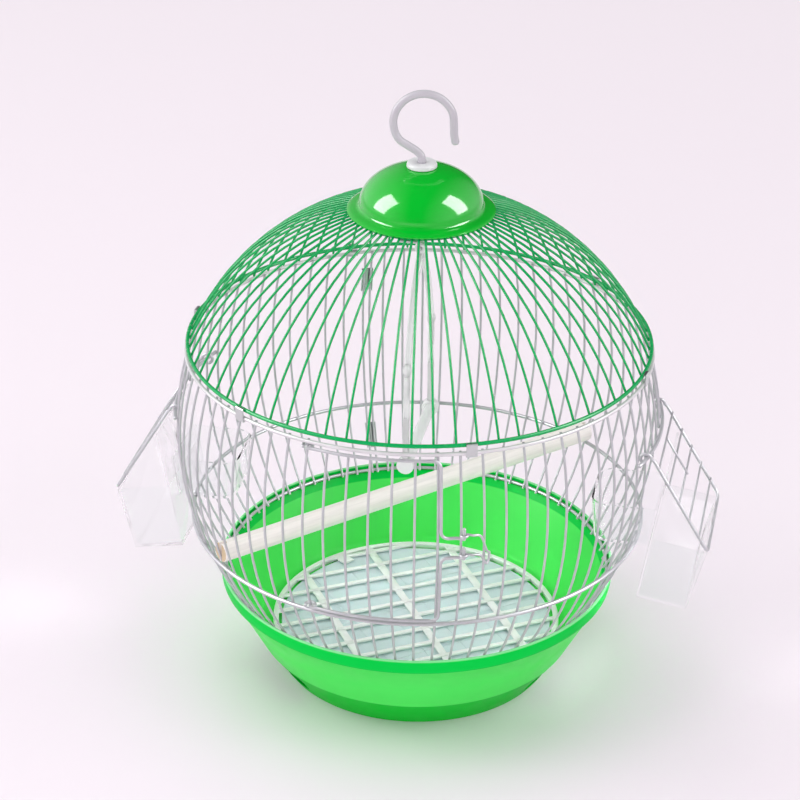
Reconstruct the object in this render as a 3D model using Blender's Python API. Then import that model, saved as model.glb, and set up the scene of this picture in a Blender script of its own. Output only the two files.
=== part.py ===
"""Round wire bird cage with a moulded tub, a domed wire top and a hanging hook.

The cage stands on the floor at Z = 0 with its upright axis on the Z axis. The front
door faces -Y, and the two feeders are at -X and +X. All lengths are in metres.
"""
import math

import bmesh
import bpy
from mathutils import Matrix, Vector

# Wirework
WIRE_COUNT = 70
WIRE = 0.0018
WIRE_DEPTH = 0.0017
HOOP = 0.003
HOOP_DEPTH = 0.0026
GAP = 0.0003
BARREL_RADIUS = 0.1754
NECK_STEP = 0.0113
BARREL_HEIGHT = 0.193
LOWER_HOOP_DROP = 0.068
TOP_HOOP_RISE = 0.0635
RING_SPACING = 0.0055
DOME_CURVE = 0.178
DOME_RISE = 0.0992
DOME_FOOT_STEP = 0.0011
CAP_RING_RADIUS = 0.0485
DOME_TURN = -1.0
DOME_PANELS = 10
SEAM_SIDE_STEP = 1.7

# Tub
TUB_HEIGHT = 0.0815
TUB_FLOOR_RADIUS = 0.118
TUB_FOOT_STEP = 0.017
TUB_FLOOR_Z = 0.025
TUB_WALL = 0.0022
TUB_FLOOR_WALL = 0.0022
RIM_WALL = 0.0026
RIM_BAND = 0.0105
RIM_DRAFT = 0.0014
BAND_STEP = 0.002
LEDGE_DEPTH = 0.0055
RIM_CLEARANCE = 0.0005
TUB_SEGMENTS = 36
SLOT_LOW = 0.006
SLOT_HIGH = 0.0205
SLOT_WIDTH = 84.0
SLOT_ANGLE = -78.0

# Grate and litter tray
GRATE_MARGIN = 0.01
GRATE_RING = 0.0042
GRATE_TOP = 0.0297
GRATE_PLATE = 0.0022
BAR_PITCH = 0.0198
BAR_WIDTH = 0.004
CROSS_PITCH = 0.06
CROSS_WIDTH = 0.006
GRATE_TURN = 32.0
TRAY_MARGIN = 0.0023
TRAY_PLATE = 0.0012
TRAY_RIM = 0.0018

# Cap, hook and what is under the cap
BRIM_RADIUS = 0.0518
BRIM_THICKNESS = 0.0016
CAP_RADIUS = 0.0436
CAP_RISE = 0.032
CAP_WALL = 0.0018
COLLAR_RADIUS = 0.0107
COLLAR_HEIGHT = 0.0036
HOOK_WIRE = 0.0056
HOOK_LOOP = 0.0209
HOOK_RISE = 0.0563
HOOK_TIP_DROP = 0.0144
HOOK_TURN = 11.3
SHANK_CLEARANCE = 0.0003
CLAMP_WIDTH = 0.013
CLAMP_PLATE = 0.0022
NUT_WIDTH = 0.0096
NUT_HEIGHT = 0.0046
HANGER_WIRE = 0.0024
HANGER_SPREAD = 0.0092
PIVOT_DROP = 0.0287

# Swing
SWING_SHOULDER = 0.0445
SHOULDER_DROP = 0.079
SWING_FOOT = 0.0465
SWING_STRIP = 0.0055
SWING_THICKNESS = 0.004
SWING_PERCH_DROP = 0.1495
SWING_PERCH = 0.0082
SWING_FOOT_SIZE = 0.0124
SWING_EYE = 0.0042
PAD_HEIGHT = 0.018
PAD_WIDTH = 0.0095

# Front door and latch
DOOR_WIRE = 0.0023
DOOR_HINGE_WIRE = 3
DOOR_CORNER = 0.006
DOOR_EYE = 0.0033
DOOR_EYE_LEAD = 0.25
DOOR_TOP_DROP = 0.002
STUB_RISE = 0.0055
STUB_SPACING = 0.015
PIN_HEIGHT = 0.0085
PIN_ANGLE = 20.9
PIN_OUT = 0.0045
LATCH_WIRE = 0.0017
LATCH_EYE_LEAD = 0.9
LATCH_TIP_ANGLE = 27.0
LATCH_TIP_DROP = 0.011

# Feeders
FEEDER_SPACES = 5
HEADER_RISE = 0.013
FLAP_HALF = 0.043
FLAP_WIRE = 0.0023
FLAP_CROSS = 0.0016
FLAP_CROSSES = 5
FLAP_CROSS_LEAD = 0.4
FLAP_SHOULDER_OUT = 0.0011
FLAP_EYE = 0.0038
BOX_HALF = 0.0425
BOX_DEPTH = 0.041
BOX_HEIGHT = 0.049
BOX_BACK = 0.044
BOX_WALL = 0.0017
BOX_TAPER = 0.004
BOX_TILT = 9.5
BOX_STANDOFF = 0.0018
BOX_TOP_DROP = 0.052
CUP_HALF = 0.028
CUP_DEPTH = 0.0444
CUP_TOP_DROP = 0.036
CUP_WALL = 0.0014
CUP_CORNER = 0.012

# Perch, clips and seam crimps
PERCH = 0.015
PERCH_RISE = 0.0095
PERCH_NOTCH = 0.0055
PERCH_WIRES = (-9, 27)
CLIP_WIDTH = 0.0075
CLIP_PLATE = 0.0008
CLIP_LIP = 0.0019
CLIP_START = -151.0
CLIP_STEP = 58.0
CLIP_COUNT = 6
CRIMP_HEIGHT = 0.02
CRIMP_RISE = 0.038
CRIMP_SHARE = 0.52
CRIMP_PLATE = 0.0008

# Sizes that follow from those above
PITCH = 360.0 / WIRE_COUNT
LOWER_HOOP_Z = BARREL_HEIGHT - LOWER_HOOP_DROP
TOP_HOOP_Z = BARREL_HEIGHT + TOP_HOOP_RISE
RING_Z = TOP_HOOP_Z + RING_SPACING
BARREL_CURVE = (LOWER_HOOP_DROP ** 2 + NECK_STEP ** 2) / (2.0 * NECK_STEP)
LEDGE_Z = TUB_HEIGHT - LEDGE_DEPTH
BOTTOM_HOOP_Z = LEDGE_Z + GAP + HOOP / 2.0
HEADER_Z = BARREL_HEIGHT + HEADER_RISE
STUB_HIGH_Z = BARREL_HEIGHT + STUB_RISE
STUB_LOW_Z = STUB_HIGH_Z - STUB_SPACING
LATCH_TIP_Z = BARREL_HEIGHT - LATCH_TIP_DROP
BOX_TOP_Z = BARREL_HEIGHT - BOX_TOP_DROP
CUP_TOP = BARREL_HEIGHT - CUP_TOP_DROP
PERCH_Z = LOWER_HOOP_Z + PERCH_RISE
CRIMP_HIGH_Z = BARREL_HEIGHT + CRIMP_RISE
CRIMP_LOW_Z = BOTTOM_HOOP_Z + (LOWER_HOOP_Z - BOTTOM_HOOP_Z) * CRIMP_SHARE
CROWN_Z = RING_Z + DOME_RISE
CAP_TOP = CROWN_Z + CAP_RISE
COLLAR_TOP = CAP_TOP + GAP + COLLAR_HEIGHT
SWING_PIVOT_Z = CROWN_Z - PIVOT_DROP
SWING_SHOULDER_Z = SWING_PIVOT_Z - SHOULDER_DROP
SWING_PERCH_Z = SWING_PIVOT_Z - SWING_PERCH_DROP
TUB_FOOT_RADIUS = TUB_FLOOR_RADIUS - TUB_FOOT_STEP
GRATE_RADIUS = TUB_FLOOR_RADIUS - GRATE_MARGIN
TRAY_RADIUS = GRATE_RADIUS - GRATE_RING - TRAY_MARGIN
FLAP_SHOULDER_X = BARREL_RADIUS + FLAP_SHOULDER_OUT
BOX_TOP_X = BARREL_RADIUS + BOX_STANDOFF
CUP_REACH = BARREL_RADIUS - CUP_DEPTH

MATERIALS = {
    "green_plastic": ((0.006, 0.600, 0.060), 0.22, 0.0),
    "green_wire": ((0.004, 0.300, 0.070), 0.35, 0.0),
    "white_wire": ((0.72, 0.72, 0.74), 0.35, 0.1),
    "white_plastic": ((0.86, 0.87, 0.87), 0.35, 0.0),
    "grey_plastic": ((0.66, 0.66, 0.68), 0.35, 0.0),
    "clear_plastic": ((0.88, 0.93, 0.90), 0.08, 0.0),
    "steel": ((0.52, 0.53, 0.55), 0.35, 1.0),
    "pale_wood": ((0.80, 0.70, 0.52), 0.60, 0.0),
}


def clear_scene():
    """Remove every object that the file opened with."""
    for scene_object in list(bpy.data.objects):
        bpy.data.objects.remove(scene_object, do_unlink=True)


def material(node, look):
    """Give one node its own Principled material."""
    rgb, roughness, metallic = MATERIALS[look]
    made = bpy.data.materials.new(node)
    made.use_nodes = True
    shader = made.node_tree.nodes["Principled BSDF"]
    shader.inputs["Base Color"].default_value = (rgb[0], rgb[1], rgb[2], 1.0)
    shader.inputs["Roughness"].default_value = roughness
    shader.inputs["Metallic"].default_value = metallic
    if look == "clear_plastic":
        shader.inputs["Transmission Weight"].default_value = 0.9
        made.diffuse_color = (rgb[0], rgb[1], rgb[2], 0.35)
    else:
        made.diffuse_color = (rgb[0], rgb[1], rgb[2], 1.0)
    return made


def keep(node, bm, look, sharp=35.0):
    """Close a bmesh into a named object, with smooth faces between sharp edges."""
    bmesh.ops.recalc_face_normals(bm, faces=bm.faces[:])
    if bm.calc_volume(signed=True) < 0.0:
        bmesh.ops.reverse_faces(bm, faces=bm.faces[:])
    mesh = bpy.data.meshes.new(node)
    bm.to_mesh(mesh)
    bm.free()
    mesh.materials.append(material(node, look))
    mesh.shade_smooth()
    mesh.set_sharp_from_angle(angle=math.radians(sharp))
    made = bpy.data.objects.new(node, mesh)
    bpy.context.scene.collection.objects.link(made)
    return made


def keep_all(name, shapes, look):
    """Numbered objects of a row of bmeshes, for a boolean."""
    return [keep("%s_%d" % (name, number), bm, look) for number, bm in enumerate(shapes)]


def combine(target, others, operation):
    """Join other solids to a solid, or cut them from it, and drop them."""
    for other in others:
        modifier = target.modifiers.new(other.name, "BOOLEAN")
        modifier.operation = operation
        modifier.solver = "EXACT"
        modifier.object = other
    bpy.context.view_layer.update()
    graph = bpy.context.evaluated_depsgraph_get()
    merged = bpy.data.meshes.new_from_object(target.evaluated_get(graph))
    target.modifiers.clear()
    looks = list(target.data.materials)
    target.data = merged
    merged.name = target.name
    merged.materials.clear()
    for look in looks:
        merged.materials.append(look)
    for polygon in merged.polygons:
        polygon.material_index = 0
    merged.shade_smooth()
    merged.set_sharp_from_angle(angle=math.radians(35.0))
    for other in others:
        bpy.data.objects.remove(other, do_unlink=True)
    return target


def parent_to(child, carrier):
    """Hang one object on another and keep it where it is."""
    bpy.context.view_layer.update()
    child.parent = carrier
    child.matrix_parent_inverse = carrier.matrix_world.inverted()


def move_origin(node_object, point):
    """Put an object's origin on a point, such as one on its joint's axis."""
    node_object.data.transform(Matrix.Translation(-Vector(point)))
    node_object.location = Vector(point)


def at(angle, radius, height):
    """Point at an angle in degrees from the front, positive towards +X."""
    turn = math.radians(angle)
    return Vector((radius * math.sin(turn), -radius * math.cos(turn), height))


def outward(angle):
    """Level unit vector that points away from the axis."""
    turn = math.radians(angle)
    return Vector((math.sin(turn), -math.cos(turn), 0.0))


def sideways(angle):
    """Level unit vector along the cage's skin."""
    turn = math.radians(angle)
    return Vector((math.cos(turn), math.sin(turn), 0.0))


class Arc:
    """A meridian of the cage: a circular arc in the plane through the axis."""

    def __init__(self, centre_radius, centre_height, radius):
        self.centre_radius = centre_radius
        self.centre_height = centre_height
        self.radius = radius

    def lift(self, height):
        """Angle of the arc's point at a height."""
        return math.asin((height - self.centre_height) / self.radius)

    def point(self, lift):
        """Radius and height at an angle of the arc."""
        radius = self.centre_radius + self.radius * math.cos(lift)
        return radius, self.centre_height + self.radius * math.sin(lift)

    def across(self, height):
        """Radius of the skin at a height."""
        return self.point(self.lift(height))[0]

    def place(self, angle, lift, side=0.0, out=0.0):
        """Point on the skin, moved along it by side and off it by out."""
        radius, height = self.point(lift)
        spot = at(angle, radius, height) + sideways(angle) * side
        normal = outward(angle) * math.cos(lift) + Vector((0.0, 0.0, math.sin(lift)))
        return spot + normal * out


BARREL = Arc(BARREL_RADIUS - BARREL_CURVE, BARREL_HEIGHT, BARREL_CURVE)
DOME_FOOT_RADIUS = BARREL.across(TOP_HOOP_Z) - DOME_FOOT_STEP


def dome_arc():
    """Arc from the green ring up to the small ring under the cap."""
    chord = Vector((CAP_RING_RADIUS - DOME_FOOT_RADIUS, DOME_RISE))
    middle = Vector((DOME_FOOT_RADIUS, RING_Z)) + chord / 2.0
    inward = Vector((-chord.y, chord.x)).normalized()
    depth = math.sqrt(DOME_CURVE ** 2 - chord.length_squared / 4.0)
    centre = middle + inward * depth
    return Arc(centre.x, centre.y, DOME_CURVE)


DOME = dome_arc()


def on_barrel(angle, height, out=0.0):
    """Point beside the body's skin at an angle and a height."""
    return at(angle, BARREL.across(height) + out, height)


def revolve(profile, segments):
    """Turn a closed outline of (radius, height) points round the Z axis."""
    bm = bmesh.new()
    corners = [bm.verts.new((radius, 0.0, height)) for radius, height in profile]
    edges = []
    for first, second in zip(corners, corners[1:] + corners[:1]):
        if first.co.x > 1e-9 or second.co.x > 1e-9:
            edges.append(bm.edges.new((first, second)))
    bmesh.ops.spin(
        bm,
        geom=corners + edges,
        cent=(0.0, 0.0, 0.0),
        axis=(0.0, 0.0, 1.0),
        angle=math.tau,
        steps=segments,
        use_merge=True,
    )
    bmesh.ops.remove_doubles(bm, verts=bm.verts[:], dist=1e-7)
    return bm


def extrude_outline(outline, low, high, matrix):
    """Extrude an outline of (x, y) points from low to high, placed by a matrix."""
    bm = bmesh.new()
    corners = [bm.verts.new((x, y, low)) for x, y in outline]
    face = bm.faces.new(corners)
    grown = bmesh.ops.extrude_face_region(bm, geom=[face])["geom"]
    moved = [item for item in grown if isinstance(item, bmesh.types.BMVert)]
    bmesh.ops.translate(bm, verts=moved, vec=(0.0, 0.0, high - low))
    bm.transform(matrix)
    return bm


def block(size, matrix):
    """Box of a size, centred on a matrix."""
    bm = bmesh.new()
    bmesh.ops.create_cube(bm, size=1.0)
    bm.transform(matrix @ Matrix.Diagonal((size[0], size[1], size[2], 1.0)))
    return bm


def cylinder(radius, depth, matrix, sides):
    """Round bar of a length along its matrix's Z axis."""
    bm = bmesh.new()
    bmesh.ops.create_cone(
        bm,
        cap_ends=True,
        segments=sides,
        radius1=radius,
        radius2=radius,
        depth=depth,
        matrix=matrix,
    )
    return bm


def frame_at(point, x_axis, y_axis, z_axis):
    """Matrix with the given axes at a point."""
    columns = (x_axis, y_axis, z_axis)
    rows = [[column[row] for column in columns] + [point[row]] for row in range(3)]
    return Matrix(rows + [[0.0, 0.0, 0.0, 1.0]])


def rod(points, radius, sides):
    """Round wire through a row of points, with flat ends."""
    bm = bmesh.new()
    spots = [Vector(point) for point in points]
    headings = []
    for index in range(len(spots)):
        before = spots[max(index - 1, 0)]
        after = spots[min(index + 1, len(spots) - 1)]
        headings.append((after - before).normalized())
    start = headings[0]
    guide = Vector((0.0, 0.0, 1.0)) if abs(start.z) < 0.8 else Vector((1.0, 0.0, 0.0))
    across = start.cross(guide).normalized()
    rings = []
    for index, (spot, heading) in enumerate(zip(spots, headings)):
        across = (across - heading * across.dot(heading)).normalized()
        upward = heading.cross(across)
        stretch = 1.0
        bend = Vector((0.0, 0.0, 0.0))
        if 0 < index < len(spots) - 1:
            arriving = (spot - spots[index - 1]).normalized()
            stretch = 1.0 / max(0.6, arriving.dot(heading))
            bend = (arriving - heading * arriving.dot(heading))
            if bend.length > 1e-9:
                bend.normalize()
        ring = []
        for side in range(sides):
            turn = math.tau * (side + 0.5) / sides
            offset = across * math.cos(turn) + upward * math.sin(turn)
            offset += bend * offset.dot(bend) * (stretch - 1.0)
            ring.append(bm.verts.new(spot + offset * radius))
        rings.append(ring)
    bm.faces.new(rings[0])
    bm.faces.new(rings[-1])
    for first, second in zip(rings, rings[1:]):
        for side in range(sides):
            following = (side + 1) % sides
            corners = (first[side], first[following], second[following], second[side])
            bm.faces.new(corners)
    return bm


def round_corners(points, radius, steps):
    """Round the inner corners of a row of points of any dimension."""
    rounded = [Vector(points[0])]
    for before, corner, after in zip(points, points[1:], points[2:]):
        back = Vector(before) - Vector(corner)
        ahead = Vector(after) - Vector(corner)
        reach = min(radius, 0.45 * back.length, 0.45 * ahead.length)
        first = Vector(corner) + back.normalized() * reach
        last = Vector(corner) + ahead.normalized() * reach
        for step in range(steps + 1):
            share = step / steps
            low = first.lerp(Vector(corner), share)
            high = Vector(corner).lerp(last, share)
            rounded.append(low.lerp(high, share))
    rounded.append(Vector(points[-1]))
    return rounded


def subdivide(points, longest):
    """Split the long runs of a row of points."""
    split = [Vector(points[0])]
    for first, second in zip(points, points[1:]):
        count = max(1, math.ceil((Vector(second) - Vector(first)).length / longest))
        for step in range(1, count + 1):
            split.append(Vector(first).lerp(Vector(second), step / count))
    return split


def smooth_curve(points, steps):
    """Points on a Catmull-Rom curve through a row of points."""
    row = [Vector(point) for point in points]
    ends = [row[0] * 2.0 - row[1]] + row + [row[-1] * 2.0 - row[-2]]
    curve = []
    for p0, p1, p2, p3 in zip(ends, ends[1:], ends[2:], ends[3:]):
        for step in range(steps):
            t = step / steps
            curve.append(
                0.5
                * (
                    2.0 * p1
                    + (p2 - p0) * t
                    + (2.0 * p0 - 5.0 * p1 + 4.0 * p2 - p3) * t ** 2
                    + (3.0 * p1 - p0 - 3.0 * p2 + p3) * t ** 3
                )
            )
    curve.append(row[-1])
    return curve


def eye(centre, axis, start, radius, sweep, steps):
    """Points of an open eye: an arc about an axis, from a start direction."""
    axis = Vector(axis).normalized()
    start = Vector(start)
    start = (start - axis * start.dot(axis)).normalized()
    side = axis.cross(start)
    points = []
    for step in range(steps + 1):
        turn = math.radians(sweep) * step / steps
        spoke = start * math.cos(turn) + side * math.sin(turn)
        points.append(Vector(centre) + spoke * radius)
    return points


class Wirework:
    """Panel of upright wires of triangular section, welded inside hoops.

    Each wire is a row of three-cornered rings on the meridian arc. A hoop shares the
    wires' corner points where it crosses them, so the whole panel is one closed skin.
    The hoops end half a wire space outside the panel's first and last wires.
    """

    def __init__(self, arc, angles, start, stop):
        self.arc = arc
        self.order = sorted(angles, key=angles.get)
        self.angles = dict(angles, start=start, stop=stop)
        self.bm = bmesh.new()
        self.corners = {}
        self.runs = {}
        self.spans = {}

    def offset(self, wire, side):
        """Distance from a wire's middle, or a panel's edge, to a corner beside it."""
        width = GAP if wire in ("start", "stop") else WIRE
        return side * width / 2.0

    def columns(self):
        """Every place round the panel where the hoops have corners."""
        inner = [(wire, side) for wire in self.order for side in (-1, 1)]
        return [("start", 1)] + inner + [("stop", -1)]

    def corner(self, wire, lift, side):
        """Outer corner of a wire's ring; side is -1 for left and 1 for right."""
        key = ("corner", wire, round(lift, 7), side)
        if key not in self.corners:
            spot = self.arc.place(self.angles[wire], lift, self.offset(wire, side))
            self.corners[key] = self.bm.verts.new(spot)
        return self.corners[key]

    def apex(self, wire, lift):
        """Inner corner of a wire's ring."""
        key = ("apex", wire, round(lift, 7))
        if key not in self.corners:
            spot = self.arc.place(self.angles[wire], lift, 0.0, -WIRE_DEPTH)
            self.corners[key] = self.bm.verts.new(spot)
        return self.corners[key]

    def crest(self, hoop, wire, side, number):
        """Outer corner of a hoop's section, over a wire's middle or a panel's edge."""
        if wire in self.order:
            side = 0
        key = ("crest", hoop["low"], wire, side, number)
        if key not in self.corners:
            share, out = hoop["crests"][number]
            lift = hoop["low"] + (hoop["high"] - hoop["low"]) * share
            width = self.offset(wire, side)
            if hoop["level"]:
                spot = self.arc.place(self.angles[wire], lift, width)
                spot += outward(self.angles[wire]) * out
            else:
                spot = self.arc.place(self.angles[wire], lift, width, out)
            self.corners[key] = self.bm.verts.new(spot)
        return self.corners[key]

    def add_face(self, corners):
        """Face through a row of corners, where a corner may be named twice."""
        unlike = list(dict.fromkeys(corners))
        if len(unlike) > 2:
            self.bm.faces.new(unlike)

    def add_hoop(self, lifts, crests, columns, level=False):
        """Hoop outside the wires between two lifts of the arc."""
        low, high = lifts
        hoop = {"low": low, "high": high, "crests": crests, "level": level}
        for wire, side in columns:
            self.spans.setdefault(wire, set()).add((round(low, 7), round(high, 7)))
        for (first, first_side), (second, second_side) in zip(columns, columns[1:]):
            chain_a = [self.corner(first, low, first_side)]
            chain_b = [self.corner(second, low, second_side)]
            for number in range(len(crests)):
                chain_a.append(self.crest(hoop, first, first_side, number))
                chain_b.append(self.crest(hoop, second, second_side, number))
            chain_a.append(self.corner(first, high, first_side))
            chain_b.append(self.corner(second, high, second_side))
            for a_low, a_high, b_low, b_high in zip(
                chain_a, chain_a[1:], chain_b, chain_b[1:]
            ):
                self.add_face((a_low, b_low, b_high, a_high))
            crossed = first == second and self.passes(first, low, high)
            if not crossed:
                self.bm.faces.new((chain_a[0], chain_a[-1], chain_b[-1], chain_b[0]))
        for wire, side in (columns[0], columns[-1]):
            end = [self.corner(wire, low, side)]
            for number in range(len(crests)):
                end.append(self.crest(hoop, wire, side, number))
            end.append(self.corner(wire, high, side))
            self.bm.faces.new(end)

    def passes(self, wire, low, high):
        """Whether a wire runs through a hoop that lies between two lifts."""
        for run in self.runs.get(wire, []):
            for first, second in zip(run, run[1:]):
                if abs(first - low) < 1e-7 and abs(second - high) < 1e-7:
                    return True
        return False

    def add_wires(self, open_top=False):
        """Skin every run of every wire, once the hoops are known."""
        for wire, runs in self.runs.items():
            spans = self.spans.get(wire, set())
            for run in runs:
                for low, high in zip(run, run[1:]):
                    left = self.corner(wire, low, -1), self.corner(wire, high, -1)
                    right = self.corner(wire, low, 1), self.corner(wire, high, 1)
                    inner = self.apex(wire, low), self.apex(wire, high)
                    self.bm.faces.new((left[0], inner[0], inner[1], left[1]))
                    self.bm.faces.new((right[0], right[1], inner[1], inner[0]))
                    if (round(low, 7), round(high, 7)) not in spans:
                        self.bm.faces.new((left[0], left[1], right[1], right[0]))
                ends = run[:1] if open_top else (run[0], run[-1])
                for lift in ends:
                    corners = (
                        self.corner(wire, lift, -1),
                        self.corner(wire, lift, 1),
                        self.apex(wire, lift),
                    )
                    self.bm.faces.new(corners)

    def add_end_ring(self, lift):
        """Ring that the wires end on, its outer side square to them."""
        base = {}
        nose = {}
        columns = self.columns()
        for column in columns:
            angle = self.angles[column[0]]
            width = self.offset(*column)
            spot = self.arc.place(angle, lift, width, -HOOP)
            base[column] = self.bm.verts.new(spot)
            if column[0] in self.order and column[1] > 0:
                nose[column] = nose[(column[0], -1)]
                continue
            width = 0.0 if column[0] in self.order else width
            spot = self.arc.place(angle, lift, width, -HOOP / 2.0)
            inward = outward(angle) * (-HOOP_DEPTH * math.sin(lift))
            rise = Vector((0.0, 0.0, HOOP_DEPTH * math.cos(lift)))
            nose[column] = self.bm.verts.new(spot + inward + rise)
        for column in (columns[0], columns[-1]):
            top = self.corner(column[0], lift, column[1])
            self.bm.faces.new((top, nose[column], base[column]))
        for first, second in zip(columns, columns[1:]):
            top_a = self.corner(first[0], lift, first[1])
            top_b = self.corner(second[0], lift, second[1])
            self.add_face((top_a, top_b, nose[second], nose[first]))
            self.add_face((base[first], nose[first], nose[second], base[second]))
            if first[0] == second[0]:
                apex = self.apex(first[0], lift)
                self.bm.faces.new((top_a, apex, base[first]))
                self.bm.faces.new((top_b, base[second], apex))
                self.bm.faces.new((apex, base[second], base[first]))
            else:
                self.bm.faces.new((top_a, base[first], base[second], top_b))


def shares(first, last, count):
    """Split a row of wires into panels of nearly equal width."""
    edges = [first + round((last + 1 - first) * step / count) for step in range(count + 1)]
    return [(low, high - 1) for low, high in zip(edges, edges[1:])]


def hoop_lifts(arc, height):
    """Lifts of a hoop's lower and upper edges."""
    return arc.lift(height - HOOP / 2.0), arc.lift(height + HOOP / 2.0)


def body_panels():
    """First and last wire of every panel of the body, from the door round each side."""
    door = DOOR_HINGE_WIRE + 1
    first, last = feeder_wires()
    half = WIRE_COUNT // 2
    panels = {"body_panel_front": (-door, door)}
    for side, sign, back in (("right", 1, WIRE_COUNT - half), ("left", -1, half - 1)):
        rows = shares(door + 1, first - 2, 2) + [(first - 1, last + 1)]
        rows += shares(last + 2, back, 2)
        for name, row in zip(("1", "2", "feeder", "3", "4"), rows):
            low, high = sorted(sign * wire for wire in row)
            panels["body_panel_%s_%s" % (side, name)] = (low, high)
    return panels


def body_panel(node, first, last):
    """White wires of one panel of the body, with its share of the hoops."""
    angles = {wire: wire * PITCH for wire in range(first, last + 1)}
    if seam_wire() in angles:
        angles["seam"] = seam_wire() * PITCH - SEAM_SIDE_STEP
    frame = Wirework(BARREL, angles, (first - 0.5) * PITCH, (last + 0.5) * PITCH)
    bottom = hoop_lifts(BARREL, BOTTOM_HOOP_Z)
    lower = hoop_lifts(BARREL, LOWER_HOOP_Z)
    header = hoop_lifts(BARREL, HEADER_Z)
    top = hoop_lifts(BARREL, TOP_HOOP_Z)
    free = [lower[1] + (top[0] - lower[1]) * step / 3.0 for step in (1, 2)]
    opening, closing = feeder_wires()
    doorway = range(-DOOR_HINGE_WIRE + 1, DOOR_HINGE_WIRE)
    foot = [*bottom, *lower]
    for wire in angles:
        if wire in ("seam", seam_wire()):
            frame.runs[wire] = [sorted([*foot, *free, *top, *crimp_lifts()])]
        elif wire in doorway:
            frame.runs[wire] = [foot]
        elif opening < abs(wire) < closing:
            above = [lift for lift in free if lift > header[1]]
            frame.runs[wire] = [foot, [*header, *above, *top]]
        elif opening - 1 <= abs(wire) <= closing + 1:
            frame.runs[wire] = [foot + sorted([*free, *header]) + [*top]]
        else:
            frame.runs[wire] = [foot + free + [*top]]
    crest = [(0.5, HOOP_DEPTH)]
    foot_crest = [(0.3, HOOP_DEPTH)]
    columns = frame.columns()
    frame.add_hoop(bottom, foot_crest, columns, level=True)
    frame.add_hoop(lower, crest, columns)
    frame.add_hoop(top, crest, columns)
    if opening - 1 in (first, -last):
        frame.add_hoop(header, crest, columns[1:-1])
    frame.add_wires()
    return keep(node, frame.bm, "white_wire")


def seam_wire():
    """Number of the wire that the seam's second wire lies beside."""
    return -round(WIRE_COUNT * 30.0 / 70.0)


def crimp_lifts():
    """Lifts of the ends of the two crimps on the seam."""
    lifts = []
    for height in (CRIMP_LOW_Z, CRIMP_HIGH_Z):
        lifts += [BARREL.lift(height + end * CRIMP_HEIGHT / 2.0) for end in (-1, 1)]
    return lifts


def feeder_wires():
    """Numbers of the wires at the two sides of the right feeder's opening."""
    first = round(WIRE_COUNT / 4.0 - FEEDER_SPACES / 2.0)
    return first, first + FEEDER_SPACES


def dome_panel(node, first, last):
    """Green wires of one panel of the dome, with its share of the two rings."""
    angles = {wire: wire * PITCH + DOME_TURN for wire in range(first, last + 1)}
    edges = [(wire * PITCH) + DOME_TURN for wire in (first - 0.5, last + 0.5)]
    frame = Wirework(DOME, angles, *edges)
    ring = hoop_lifts(DOME, RING_Z)
    crown = DOME.lift(CROWN_Z)
    free = [ring[1] + (crown - ring[1]) * step / 3.0 for step in (1, 2)]
    for wire in angles:
        frame.runs[wire] = [[*ring, *free, crown]]
    frame.add_hoop(ring, [(0.5, HOOP_DEPTH)], frame.columns())
    frame.add_wires(open_top=True)
    frame.add_end_ring(crown)
    return keep(node, frame.bm, "green_wire")


def tub():
    """Moulded base: flared wall, rim with a ledge, raised floor and hollow skirt."""
    hoop_outer = BARREL.across(BOTTOM_HOOP_Z + HOOP / 2.0) + HOOP_DEPTH * 0.8
    rim_inner = hoop_outer + RIM_CLEARANCE
    rim_outer = rim_inner + RIM_WALL
    band_z = TUB_HEIGHT - RIM_BAND
    band = rim_outer - RIM_DRAFT
    wall = band - BAND_STEP
    slope = (wall - TUB_FLOOR_RADIUS) / (band_z - TUB_FLOOR_Z)
    ledge_inner = wall - TUB_WALL
    under = TUB_FLOOR_Z - TUB_FLOOR_WALL
    foot_slope = (TUB_FLOOR_RADIUS - TUB_FOOT_RADIUS) / TUB_FLOOR_Z
    floor_inner = TUB_FLOOR_RADIUS - TUB_WALL
    skirt_inner = TUB_FOOT_RADIUS + foot_slope * under - TUB_WALL
    profile = [
        (TUB_FOOT_RADIUS, 0.0),
        (TUB_FLOOR_RADIUS, TUB_FLOOR_Z),
        (TUB_FLOOR_RADIUS + slope * (band_z - TUB_FLOOR_Z) * 0.97, band_z - 0.001),
        (band, band_z),
        (rim_outer - 0.0006, TUB_HEIGHT - 0.0012),
        (rim_outer - 0.0015, TUB_HEIGHT),
        (rim_inner, TUB_HEIGHT),
        (rim_inner, LEDGE_Z),
        (ledge_inner, LEDGE_Z),
        (floor_inner + 0.002, TUB_FLOOR_Z + 0.0032),
        (floor_inner - 0.0025, TUB_FLOOR_Z),
        (0.0, TUB_FLOOR_Z),
        (0.0, under),
        (skirt_inner, under),
        (TUB_FOOT_RADIUS - TUB_WALL, 0.0),
    ]
    made = keep("base_tub", revolve(profile, TUB_SEGMENTS), "green_plastic")
    slots = []
    for number, middle in enumerate((SLOT_ANGLE, SLOT_ANGLE + 180.0)):
        slots.append(slot_cutter("slot_cutter_%d" % number, middle))
    return combine(made, slots, "DIFFERENCE")


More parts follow.
